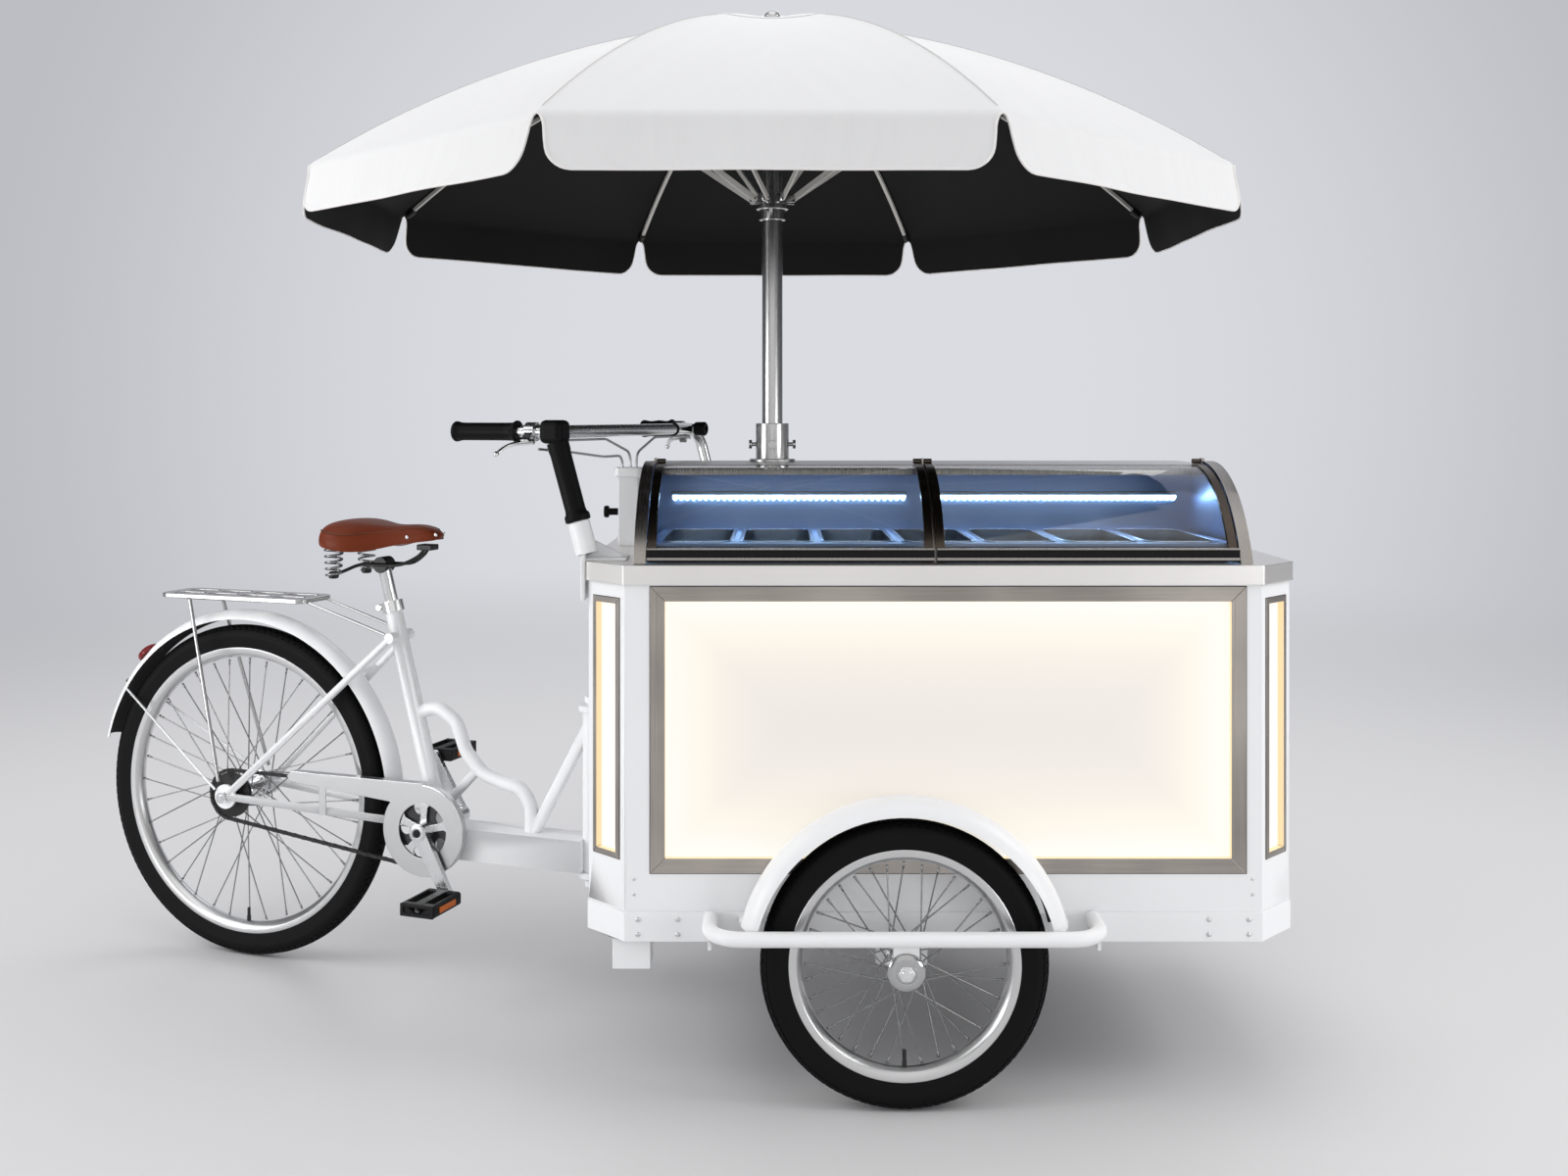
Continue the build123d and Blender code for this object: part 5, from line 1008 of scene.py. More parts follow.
link_tree, link_in, link_out = size_tree(
    "chain_links", ("links", "Int"), ("plate", "Vector"), ("roller", "Float"), ("inner gap", "Vector"),
    ("outer gap", "Vector"))
link_path = made_node(link_tree, "GeometryNodeMeshToCurve")
link_steps = made_node(link_tree, "GeometryNodeResampleCurve", mode="COUNT")
link_tangent = made_node(link_tree, "GeometryNodeInputTangent")
link_face = made_node(link_tree, "FunctionNodeAlignRotationToVector", {"Vector": bike_right}, axis="Z")
link_turn = made_node(link_tree, "FunctionNodeAlignRotationToVector", axis="X", pivot_axis="Z")
link_index = made_node(link_tree, "GeometryNodeInputIndex")
link_odd = made_node(link_tree, "ShaderNodeMath", {1: 2.0}, operation="MODULO")
link_even = made_node(link_tree, "ShaderNodeMath", {0: 1.0}, operation="SUBTRACT")
link_disc = made_node(link_tree, "GeometryNodeMeshCylinder", {"Vertices": 10, "Radius": 1.0, "Depth": 1.0})
link_plate = made_node(link_tree, "GeometryNodeTransform")
link_join = made_node(link_tree, "GeometryNodeJoinGeometry")
wired(link_tree, (link_in, "Seed", link_path, "Mesh"), (link_path, "Curve", link_steps, "Curve"),
      (link_in, "links", link_steps, "Count"), (link_face, "Rotation", link_turn, "Rotation"),
      (link_tangent, "Tangent", link_turn, "Vector"), (link_index, "Index", link_odd, 0),
      (link_odd, 0, link_even, 1), (link_disc, "Mesh", link_plate, "Geometry"),
      (link_in, "plate", link_plate, "Scale"))
for gap_name, chosen in (("inner gap", link_odd), ("outer gap", link_even)):
    away = made_node(link_tree, "ShaderNodeVectorMath", {"Scale": -1.0}, operation="SCALE")
    wired(link_tree, (link_in, gap_name, away, 0))
    pair = made_node(link_tree, "GeometryNodeJoinGeometry")
    for source, output in ((link_in, gap_name), (away, "Vector")):
        shifted = made_node(link_tree, "GeometryNodeTransform")
        wired(link_tree, (link_plate, "Geometry", shifted, "Geometry"),
              (source, output, shifted, "Translation"), (shifted, "Geometry", pair, "Geometry"))
    link_copies = copied_onto(link_tree, link_steps.outputs["Curve"], pair.outputs["Geometry"],
                              link_turn.outputs["Rotation"], chosen.outputs[0])
    link_tree.links.new(link_copies, link_join.inputs["Geometry"])
roller_shape = made_node(link_tree, "GeometryNodeMeshCylinder", {"Vertices": 10, "Depth": roller_length})
roller_place = made_node(link_tree, "GeometryNodeTransform", {"Translation": (chain_pitch / 2, 0, 0)})
wired(link_tree, (link_in, "roller", roller_shape, "Radius"),
      (roller_shape, "Mesh", roller_place, "Geometry"))
rollers = copied_onto(link_tree, link_steps.outputs["Curve"], roller_place.outputs["Geometry"],
                      link_turn.outputs["Rotation"])
link_tree.links.new(rollers, link_join.inputs["Geometry"])
closed_tree(link_tree, link_in, link_out, link_join.outputs["Geometry"], smooth=False)


def lined_mesh(runs, closed=False):
    """Seed mesh of one or more lines of points."""
    spots, ends = [], []
    for run in runs:
        first = len(spots)
        spots += run
        ends += [(spot, spot + 1) for spot in range(first, len(spots) - 1)]
        if closed:
            ends.append((len(spots) - 1, first))
    return strung(seed_points(spots), ends)


def wire(name, body, slot, runs, radius, finish):
    """Round wire or tube along one or more lines of points."""
    return fitted(grown(name, lined_mesh(runs), spoke_tree, finish, wire=radius), body, slot)


def about(middle, radius, angle, w):
    """Point of the bicycle half on a circle round a (t, z) middle."""
    return bike(middle[0] + radius * math.cos(angle), w, middle[1] + radius * math.sin(angle))


case_radius = 0.093
case_face_w = 0.0662
case_arm = ((0.4235, 0.3860), (0.680, 0.4050), (0.689, 0.4160), (0.680, 0.4270), (0.356, 0.4232))
case_line = [about(crank_spot, case_radius, math.radians(angle), case_face_w) for angle in range(90, 400, 5)]
case_line += [bike(t, case_face_w, z) for t, z in case_arm]
wire("case_edge", "rear_frame", "bright_metal", [case_line], 0.0016, chrome)

span = Vector((hub_spot[0] - crank_spot[0], hub_spot[1] - crank_spot[1]))
lean = math.atan2(span.y, span.x)
open_angle = math.acos((ring_radius - sprocket_radius) / span.length)
chain_line = []
for middle, radius, first, last in (
        (hub_spot, sprocket_radius, lean + open_angle, lean - open_angle),
        (crank_spot, ring_radius, lean - open_angle, lean + open_angle - 2 * math.pi)):
    chain_line += [about(middle, radius, first + (last - first) * step / 40, chain_w) for step in range(41)]
links = grown("chain_links", lined_mesh([chain_line], closed=True), link_tree, chain_black, links=chain_links,
              plate=plate_size, roller=0.0037, **plate_gaps)
fitted(links, "rear_frame", "chain_steel", "chain")

ring_back_w = 0.045
ring_front_w = 0.0615


def crank_finish(middle, normal):
    """The chainring's disc is in shadow behind the case; arms and axle are bright."""
    return 1 if ring_back_w < (middle - steer_spot).dot(bike_right) < ring_front_w else 0


dressed("crankset", "bright_metal", [silver, ring_shadow], edge=0.0012, choose=crank_finish)
spider_face = 0.0650
spider_back = 0.0610
spider_arms = 5
spider_start = 0.35
spider_sections = ((0.012, 0.0085), (0.030, 0.0072), (0.048, 0.0088), (0.0555, 0.0150))
spider = bmesh.new()
for arm in range(spider_arms):
    turn = 2 * math.pi * arm / spider_arms + spider_start
    rows = []
    for reach, half in spider_sections:
        row = []
        for way, right in ((-1, spider_back), (-1, spider_face), (1, spider_face), (1, spider_back)):
            t = crank_spot[0] + reach * math.cos(turn) - way * half * math.sin(turn)
            z = crank_spot[1] + reach * math.sin(turn) + way * half * math.cos(turn)
            row.append(spider.verts.new(bike(t, right, z)))
        rows.append(row)
    for here, there in zip(rows, rows[1:]):
        banded(spider, here, there)
    spider.faces.new(rows[0])
    spider.faces.new(rows[-1])
fitted(settled("chainring_spider", spider, Matrix(), silver, edge=0.0010), "crank", "bright_metal")
cap_rim = [(0.0, 0.0), (0.0175, 0.0), (0.0175, 0.0018), (0.0150, 0.0032), (0.0105, 0.0032), (0.0100, 0.0010),
           (0.0, 0.0010)]
cap_button = [(0.0, 0.0010), (0.0085, 0.0010), (0.0085, 0.0030), (0.0070, 0.0036), (0.0, 0.0036)]
cap_face_w = 0.0862
cap = bmesh.new()
turned(cap, cap_rim, 40, 0)
turned(cap, cap_button, 40, 1)
cap_basis = axle_basis(bike(crank_spot[0], cap_face_w, crank_spot[1]), bike_right)
fitted(settled("crank_cap", cap, cap_basis, silver, pedal_black), "crank", "bright_metal")

arm_run = (0.067, 0.119)
pedal_end_w = 0.188
pedal_rim_depth = 0.0030
pedal_rim_halves = ((0.0375, 0.0125), (0.0305, 0.0062))
plate_spot = (0.0395, 0.141)
reflector_size = (0.0030, 0.058, 0.0115)
for side, way in (("right", 1), ("left", -1)):
    body = f"pedal_{side}"
    dressed(body, "black_plastic", [pedal_black], edge=0.0016)
    pedal_t = crank_spot[0] - way * arm_run[0]
    pedal_z = crank_spot[1] - way * arm_run[1]
    rim = bmesh.new()
    ring = []
    for half_t, half_z in pedal_rim_halves:
        for end_w in (pedal_end_w, pedal_end_w + pedal_rim_depth):
            ring.append([rim.verts.new(bike(pedal_t + a * half_t, way * end_w, pedal_z + b * half_z))
                         for a, b in ((-1, -1), (1, -1), (1, 1), (-1, 1))])
    for low, high in ((0, 1), (1, 3), (3, 2), (2, 0)):
        banded(rim, ring[low], ring[high])
    fitted(settled(f"pedal_rim_{side}", rim, Matrix(), pedal_black, edge=0.0008), body, "black_plastic")
    plates = bmesh.new()
    for face in (-1, 1):
        plate_middle = bike(pedal_t + face * plate_spot[0], way * plate_spot[1], pedal_z)
        boxed(plates, plate_middle, reflector_size, bike_turn)
    fitted(settled(f"pedal_reflectors_{side}", plates, Matrix(), reflector_orange, edge=0.0008), body,
           "black_plastic")

# Seat: a plated post in a clamped collar, black clamp and wire rails, two coil springs, a padded saddle.
# The leather is stretched over a foam-topped plate, sewn along its shoulder and riveted at the nose.
leather = grained("tan_leather", (0.150, 0.026, 0.007), (0.34, 0.50), 230, 0.22, shade=0.22, gloss=0.16)
seam_thread = grained("seam_thread", (0.12, 0.035, 0.015), (0.6, 0.7), 800, 0.2)
frame_black = grained("frame_black", (0.008, 0.008, 0.009), (0.30, 0.42), 250, 0.08, gloss=0.3)
spring_grey = grained("spring_grey", (0.30, 0.30, 0.31), (0.22, 0.34), 300, 0.05, metallic=1.0)
clamp_low_z = 0.848
spring_spot = (0.578, 0.058)
spring_low_z = 0.845
spring_high_z = 0.904
spring_turns = 4.5
spring_steps = round(spring_turns * 20)
spring_reach = 0.0150
spring_flare = 0.0035
spring_wire = 0.0026
rail_radius = 0.0036
rail_line = ((0.386, 0.008, 0.906), (0.404, 0.010, 0.886), (0.440, 0.0205, 0.869), (0.490, 0.0215, 0.867),
             (0.535, 0.024, 0.866), (0.560, 0.042, 0.855), (*spring_spot, spring_low_z))
boss_outline = [(0.0, -0.006), (0.0085, -0.006), (0.0105, -0.004), (0.0105, 0.006), (0.0080, 0.009),
                (0.0, 0.009)]
nose_spot = (0.386, 0, 0.906)
nose_size = (0.036, 0.030, 0.012)


def post_finish(middle, normal):
    """The clamp on top of the plated post is black."""
    return 1 if middle.z > clamp_low_z else 0


def smooth_line(points, steps=8):
    """Points of an even curve through the given ones."""
    ends = [2 * points[0] - points[1], *points, 2 * points[-1] - points[-2]]
    line = []
    for a, b, c, d in zip(ends, ends[1:], ends[2:], ends[3:]):
        for step in range(steps):
            s = step / steps
            line.append(0.5 * (2 * b + (c - a) * s + (2 * a - 5 * b + 4 * c - d) * s ** 2
                               + (3 * b - a - 3 * c + d) * s ** 3))
    return line + [points[-1]]


dressed("seat_post", "chrome", [chrome, frame_black], edge=0.0010, choose=post_finish)
rails, coils = [], []
for side in (-1, 1):
    rails.append(smooth_line([bike(t, side * w, z) for t, w, z in rail_line]))
    coil = []
    for step in range(spring_steps + 1):
        share = step / spring_steps
        angle = 2 * math.pi * spring_turns * share
        reach = spring_reach + spring_flare * share
        coil.append(bike(spring_spot[0] + reach * math.cos(angle),
                         side * (spring_spot[1] + reach * math.sin(angle)),
                         spring_low_z + (spring_high_z - spring_low_z) * share))
    coils.append(coil)
rail_wires = wire("saddle_rails", "seat", "chrome", rails, rail_radius, frame_black)
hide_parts("saddle_frame")
wire("saddle_springs", "seat", "chrome", coils, spring_wire, spring_grey)
bosses = bmesh.new()
for side in (-1, 1):
    count = len(bosses.verts)
    turned(bosses, boss_outline, 28)
    bosses.verts.ensure_lookup_table()
    bmesh.ops.translate(bosses, verts=bosses.verts[count:],
                        vec=bike(spring_spot[0], side * spring_spot[1], spring_low_z))
boxed(bosses, bike(*nose_spot), nose_size, bike_turn)
fitted(settled("saddle_bosses", bosses, Matrix(), frame_black, edge=0.0020), "seat", "chrome")

saddle_sections = [
    (0.620, 0.020, 0.922, 0.936), (0.612, 0.066, 0.914, 0.949), (0.5985, 0.088, 0.907, 0.957),
    (0.577, 0.099, 0.902, 0.962), (0.550, 0.100, 0.898, 0.964), (0.521, 0.090, 0.895, 0.962),
    (0.497, 0.073, 0.897, 0.958), (0.470, 0.055, 0.902, 0.953), (0.443, 0.044, 0.909, 0.952),
    (0.4135, 0.037, 0.914, 0.954), (0.387, 0.032, 0.917, 0.953), (0.368, 0.026, 0.919, 0.947),
    (0.357, 0.018, 0.921, 0.940), (0.352, 0.008, 0.924, 0.932),
]
saddle_shares = (0.0, 0.07, 0.16, 0.28, 0.40, 0.53, 0.67, 0.82, 1.0)
saddle_under = ((-0.86, 0.004), (-0.4, 0.009), (0.4, 0.009), (0.86, 0.004))
shoulder = (0.50, 0.44, 0.38, 0.34, 0.36, 0.42, 0.48, 0.54, 0.58, 0.60, 0.60)
rivet_spots = ((9, 0.20), (12, 0.42))


def saddle_place(section, share, side):
    """Point of the leather: share runs from the skirt's edge to the middle of the top."""
    t, half, skirt, top = section
    rise = math.sin(share * math.pi / 2) ** 0.86
    reach = math.cos(share * math.pi / 2) ** 0.66 * (1 - 0.06 * (1 - share) ** 5)
    return bike(t, side * half * reach, skirt + (top - skirt) * rise)


saddle_shape = bmesh.new()
saddle_rings = []
for section in saddle_sections:
    t, half, skirt, top = section
    places = [saddle_place(section, share, 1) for share in saddle_shares]
    places += [saddle_place(section, share, -1) for share in saddle_shares[-2::-1]]
    places += [bike(t, reach * half, skirt + lift) for reach, lift in saddle_under]
    saddle_rings.append([saddle_shape.verts.new(place) for place in places])
leather_points = 2 * len(saddle_shares) - 1
for here, there in zip(saddle_rings, saddle_rings[1:]):
    for point, face in enumerate(banded(saddle_shape, there, here)):
        face.material_index = 1 if leather_points <= point < len(here) - 1 else 0
saddle_shape.faces.new(saddle_rings[0])
saddle_shape.faces.new(saddle_rings[-1][::-1])
saddle_skin = settled("saddle_skin", saddle_shape, Matrix(), leather, frame_black, turn=70)
rounding = saddle_skin.modifiers.new("rounding", "SUBSURF")
rounding.levels = 2
rounding.render_levels = 2
saddle_skin.data = baked(saddle_skin)
fitted(saddle_skin, "seat", "saddle_leather", "saddle")
for side, label in ((1, "right"), (-1, "left")):
    seam = [saddle_place(section, share, side) for section, share in zip(saddle_sections[1:], shoulder)]
    wire(f"saddle_seam_{label}", "seat", "saddle_leather", [smooth_line(seam)], 0.0010, seam_thread)
rivets = [(saddle_place(saddle_sections[index], share, side), bike_right * side)
          for index, share in rivet_spots for side in (1, -1)]
fixing_heads("saddle_rivets", "seat", rivets, chrome, "chrome", 0.0044, 0.0026)

# Handlebar: bent plated tube in white brackets, its near leg in a black sleeve, rubber grips, plated levers.
# The levers pivot in clamps on the bar, and their cables run down into the white post behind the display.
grip_rubber = grained("grip_rubber", (0.0045, 0.0045, 0.005), (0.40, 0.52), 300, 0.1, gloss=0.10)
jacket = grained("cable_jacket", (0.50, 0.51, 0.52), (0.24, 0.36), 400, 0.05, metallic=0.7)
near_root = Vector((-0.10325, -0.374, 1.153))
far_corner = Vector((0.12375, 0.226, 1.153))
near_foot = Vector((-0.04425, -0.393, 0.941))
knob_face = Vector((-0.01825, -0.074, 0.989))
bar_way = (far_corner - near_root).normalized()
leg_way = (near_foot - near_root).normalized()
far_joint = far_corner - bar_way * 0.046
far_root = far_joint - bike_back * 0.023
corner_size = (0.045, 0.045, 0.043)
corner_round = 0.011
near_grip_outline = [
    (0.0121, 0.074), (0.0190, 0.074), (0.0205, 0.0755), (0.0205, 0.0785), (0.0186, 0.0812), (0.0168, 0.0860),
    (0.0164, 0.1000), (0.0164, 0.1850), (0.0168, 0.1940), (0.0180, 0.1990), (0.0190, 0.2020),
    (0.0190, 0.2055), (0.0172, 0.2078), (0.0, 0.2084), (0.0, 0.2060), (0.0121, 0.2060)]
far_grip_outline = [
    (0.0111, 0.060), (0.0190, 0.060), (0.0206, 0.0620), (0.0206, 0.0655), (0.0180, 0.0700), (0.0168, 0.0780),
    (0.0182, 0.0880), (0.0188, 0.0950), (0.0176, 0.1040), (0.0166, 0.1130), (0.0176, 0.1220),
    (0.0190, 0.1280), (0.0188, 0.1325), (0.0170, 0.1348), (0.0, 0.1352), (0.0, 0.1330), (0.0111, 0.1330)]
far_cap_outline = [(0.0, -0.0402), (0.0120, -0.0402), (0.0150, -0.0375), (0.0150, -0.0190), (0.0142, -0.0155),
                   (0.0112, -0.0152)]
joint_tube = [(0.0121, 0.515), (0.0132, 0.516), (0.0132, 0.589), (0.0121, 0.590)]
joint_ring = [(0.0121, 0.508), (0.0140, 0.508), (0.0142, 0.510), (0.0142, 0.513), (0.0140, 0.515),
              (0.0121, 0.515)]
sleeve_outline = [
    (0.0136, 0.020), (0.0200, 0.020), (0.0200, 0.036), (0.0190, 0.042), (0.0186, 0.146), (0.0196, 0.152),
    (0.0226, 0.1560), (0.0232, 0.1590), (0.0232, 0.1650), (0.0222, 0.1676), (0.0136, 0.1680)]
knob_outline = [(0.0, 0.0), (0.0070, 0.0), (0.0070, 0.0190), (0.0110, 0.0205), (0.0120, 0.0225),
                (0.0120, 0.0275), (0.0105, 0.0298), (0.0, 0.0302)]
dressed("handlebar", "chrome", [silver], edge=0.0008)
dressed("handlebar_brackets", "white_paint", [white_coat], edge=0.0022)
dressed("brake_cables", "cable_jacket", [jacket])
lathed("near_grip", "cart", "black_rubber", axle_basis(near_root, bike_back), grip_rubber, near_grip_outline,
       stands_for=["grips_and_sleeves"])
lathed("far_grip", "cart", "black_rubber", axle_basis(far_root, bike_back), grip_rubber, far_grip_outline)
lathed("far_cap", "cart", "black_rubber", axle_basis(far_joint, bike_back), grip_rubber, far_cap_outline)
joint_sleeve = bmesh.new()
turned(joint_sleeve, joint_tube, 40, 0)
turned(joint_sleeve, joint_ring, 40, 1)
fitted(settled("joint_sleeve", joint_sleeve, axle_basis(near_root, bar_way), chrome, grip_rubber), "cart",
       "chrome")
lathed("leg_sleeve", "cart", "black_rubber", axle_basis(near_root, leg_way), grip_rubber, sleeve_outline)
corner_turn = Matrix((bike_back, bar_way, bike_back.cross(bar_way))).transposed().to_4x4()
corner = bmesh.new()
boxed(corner, near_root, corner_size, corner_turn)
corner_block = softened(shaped("corner_block", corner, grip_rubber), corner_round, segments=4)
fitted(corner_block, "cart", "black_rubber")
lathed("post_knob", "cart", "black_rubber", axle_basis(knob_face, (-1, 0, 0)), grip_rubber, knob_outline, 32)

lever_line = [(0.031, 0.026), (0.045, 0.028), (0.062, 0.0315), (0.077, 0.037), (0.087, 0.0465),
              (0.0925, 0.056)]
lever_tip = (0.095, 0.061)
tip_radius = 0.0052
blade_halves = (0.0078, 0.0074, 0.0058, 0.0050, 0.0044, 0.0036)
blade_sides = (0.0042, 0.0042, 0.0036, 0.0031, 0.0028, 0.0026)
blade_steps = 5
blade_points = 12
lever_out = (bike_right * 0.75 - Vector((0, 0, 0.66))).normalized()
far_lever_out = (-bike_right * 0.75 - Vector((0, 0, 0.66))).normalized()
for side, root, out in (("right", near_root, lever_out), ("left", far_root, far_lever_out)):
    across = bike_back.cross(out)
    line = smooth_line([Vector((*spot, 0)) for spot in lever_line], blade_steps)
    blade = bmesh.new()
    rings = []
    for step, spot in enumerate(line):
        before, after = line[max(0, step - 1)], line[min(len(line) - 1, step + 1)]
        run = (after - before).normalized()
        place = min(step / blade_steps, len(blade_halves) - 1.001)
        low, part = int(place), place - int(place)
        half = blade_halves[low] * (1 - part) + blade_halves[low + 1] * part
        thick = blade_sides[low] * (1 - part) + blade_sides[low + 1] * part
        ring = []
        for turn in range(blade_points):
            angle = 2 * math.pi * turn / blade_points
            flat = spot + Vector((-run.y, run.x, 0)) * half * math.cos(angle)
            edge = root + bike_back * flat.x + out * flat.y + across * thick * math.sin(angle)
            ring.append(blade.verts.new(edge))
        rings.append(ring)
    for here, there in zip(rings, rings[1:]):
        banded(blade, here, there)
    blade.faces.new(rings[0])
    blade.faces.new(rings[-1])
    ball = bmesh.ops.create_uvsphere(blade, u_segments=16, v_segments=10, radius=tip_radius)["verts"]
    bmesh.ops.translate(blade, verts=ball, vec=root + bike_back * lever_tip[0] + out * lever_tip[1])
    lever = settled(f"lever_blade_{side}", blade, Matrix(), chrome, turn=60)
    fitted(lever, f"brake_lever_{side}", "chrome", f"brake_lever_{side}")

# Umbrella: a steel pole in a bolted socket, a sliding runner, and eight ribs carried on struts.
# Thumbscrews in the socket clamp the pole, and pins join the ribs and struts to the crown and the runner.
pole_steel = grained("pole_steel", (0.60, 0.60, 0.605), (0.16, 0.28), 1.0, 0.05, (700, 700, 5), 1.0, 0.05)
rib_grey = grained("rib_grey", (0.62, 0.605, 0.57), (0.35, 0.5), 300, 0.05)
tip_black = grained("tip_black", (0.02, 0.02, 0.021), (0.35, 0.5), 300, 0.05)
pole_spot = Vector((0.28975, 0.0, 0.0))
tip_reach = 0.902
tip_height = Vector((0, 0, 1.6385))
tip_outline = [(0.0, -0.020), (0.0062, -0.020), (0.0072, -0.017), (0.0072, 0.001), (0.0055, 0.004),
               (0.0, 0.0045)]
dressed("umbrella_socket", "stainless", [pole_steel], edge=0.0008)
dressed("umbrella_mast", "stainless", [pole_steel], edge=0.0006)
dressed("umbrella_runner", "stainless", [pole_steel], edge=0.0006)
rib_angles = {}
for index in range(1, 9):
    rib = f"umbrella_rib_{index}"
    dressed(rib, "bright_metal", [rib_grey])
    dressed(f"umbrella_strut_{index}", "bright_metal", [rib_grey])
    rib_low, rib_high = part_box(rib)
    away = (rib_low + rib_high) / 2 - pole_spot
    rib_angles[index] = math.radians(round(math.degrees(math.atan2(away.y, away.x)) / 22.5) * 22.5)
    out = Vector((math.cos(rib_angles[index]), math.sin(rib_angles[index]), 0))
    tip_basis = axle_basis(pole_spot + out * tip_reach + tip_height, out * 0.86 - Vector((0, 0, 0.51)))
    lathed(f"rib_tip_{index}", rib, "black_plastic", tip_basis, tip_black, tip_outline, 20)

# Canopy: gores of coated cloth, white outside and black inside, tight over the ribs and bound at the hem.
# A valance hangs from the hem between the rib tips, notched at each rib, with rounded corners.
# A small cap of the same cloth is sewn over the top of the gores, round the crown.
canopy_profile = ((0.028, 1.993), (0.430, 1.893), (0.918, 1.640))
hem_reach, hem_z = canopy_profile[2]
gore_half = math.radians(22.5)
side_half = hem_reach * math.sin(gore_half)
gore_hollow = 0.011
crown_reach = canopy_profile[0][0]
cap_reach = 0.232
cap_step = 0.0016
under_cap = 0.204
slope_end = 0.900
hem_round = 0.0090
valance_drop = 0.090
valance_corner = 0.034
valance_flare = 0.022
cloth_thickness = 0.0014
seam_lift = 0.0003
canopy_black = grained("canopy_black", (0.0055, 0.0055, 0.006), (0.62, 0.75), 900, 0.15, shade=0.15,
                       gloss=0.2)
seam_white = grained("seam_white", (0.60, 0.59, 0.585), (0.6, 0.7), 900, 0.15, shade=0.03)
binding_white = grained("binding_white", (0.84, 0.82, 0.80), (0.5, 0.65), 900, 0.15, shade=0.03)
canopy_white, cloth_tree, cloth_face = new_finish("canopy_white", {"Roughness": 0.62, "Sheen Weight": 0.15})
cloth_map = made_node(cloth_tree, "ShaderNodeUVMap", uv_map="cloth")
weave_scale = made_node(cloth_tree, "ShaderNodeMapping", {"Scale": (700, 700, 1)})
weave = made_node(cloth_tree, "ShaderNodeTexChecker", {"Scale": 1.0})
pucker_scale = made_node(cloth_tree, "ShaderNodeMapping", {"Scale": (34, 5.0, 1)})
pucker = made_node(cloth_tree, "ShaderNodeTexNoise", {"Scale": 1.0, "Detail": 2.0})
cloth_way = made_node(cloth_tree, "ShaderNodeSeparateXYZ")
near_hem = eased(cloth_tree, 0.90, 1.05)
gathered = made_node(cloth_tree, "ShaderNodeMath", operation="MULTIPLY")
weave_bump = made_node(cloth_tree, "ShaderNodeBump", {"Strength": 0.05, "Distance": 0.0003})
pucker_bump = made_node(cloth_tree, "ShaderNodeBump", {"Strength": 0.35, "Distance": 0.010})
cloth_tint = two_tone(cloth_tree, (0.765, 0.762, 0.763), (0.80, 0.797, 0.796))
wired(cloth_tree, (cloth_map, "UV", weave_scale, "Vector"), (weave_scale, "Vector", weave, "Vector"),
      (cloth_map, "UV", pucker_scale, "Vector"), (pucker_scale, "Vector", pucker, "Vector"),
      (cloth_map, "UV", cloth_way, "Vector"), (cloth_way, "Y", near_hem, "Value"),
      (pucker, "Fac", gathered, 0), (near_hem, "Result", gathered, 1),
      (weave, "Fac", weave_bump, "Height"), (gathered, 0, pucker_bump, "Height"),
      (weave_bump, "Normal", pucker_bump, "Normal"), (pucker_bump, "Normal", cloth_face, "Normal"),
      (pucker, "Fac", cloth_tint, "Factor"), (cloth_tint, "Result", cloth_face, "Base Color"))
shares = [0, 0.02, 0.06] + [0.06 + 0.94 * step / 20 for step in range(1, 21)]
columns = [(-1, share) for share in reversed(shares[1:])] + [(1, share) for share in shares]
cap_reaches = [crown_reach + (cap_reach - crown_reach) * step / 8 for step in range(9)]
reaches = [under_cap + (slope_end - under_cap) * step / 22 for step in range(23)]
folds = (0.0, 0.25, 0.5)
drops = [0.0045, hem_round, 0.014, 0.022, 0.032, 0.044, 0.056, 0.064, 0.071, 0.077, 0.082, 0.086, 0.0885,
         valance_drop]


def arc_height(points, reach):
    """Height at a reach on the arc through three (reach, height) points."""
    (ax, ay), (bx, by), (cx, cy) = points
    double = 2 * (ax * (by - cy) + bx * (cy - ay) + cx * (ay - by))
    a, b, c = ax ** 2 + ay ** 2, bx ** 2 + by ** 2, cx ** 2 + cy ** 2
    mx = (a * (by - cy) + b * (cy - ay) + c * (ay - by)) / double
    my = (a * (cx - bx) + b * (ax - cx) + c * (bx - ax)) / double
    return my + math.sqrt((ax - mx) ** 2 + (ay - my) ** 2 - (reach - mx) ** 2)


def gore_place(rib_angle, side, inset, reach, drop, push, height):
    """Point of a half gore at an inset from the rib, on the chord at a reach from the pole."""
    middle = rib_angle + side * gore_half
    out = Vector((math.cos(middle), math.sin(middle), 0))
    along = Vector((-math.sin(middle), math.cos(middle), 0))
    half = reach * math.sin(gore_half)
    return (pole_spot + out * (reach * math.cos(gore_half) + push) - along * (side * (half - inset))
            + Vector((0, 0, height - drop)))


def slope_place(rib_angle, side, share, reach, lift=0.0):
    """Point of the slope: share runs from the rib to the gore's middle, where the cloth is hollow."""
    hollow = gore_hollow * (1 - (1 - share) ** 2) * math.sin(math.pi * reach / hem_reach)
    height = arc_height(canopy_profile, reach) + lift
    inset = share * reach * math.sin(gore_half)
    return gore_place(rib_angle, side, inset, reach, hollow, -0.3 * hollow, height)


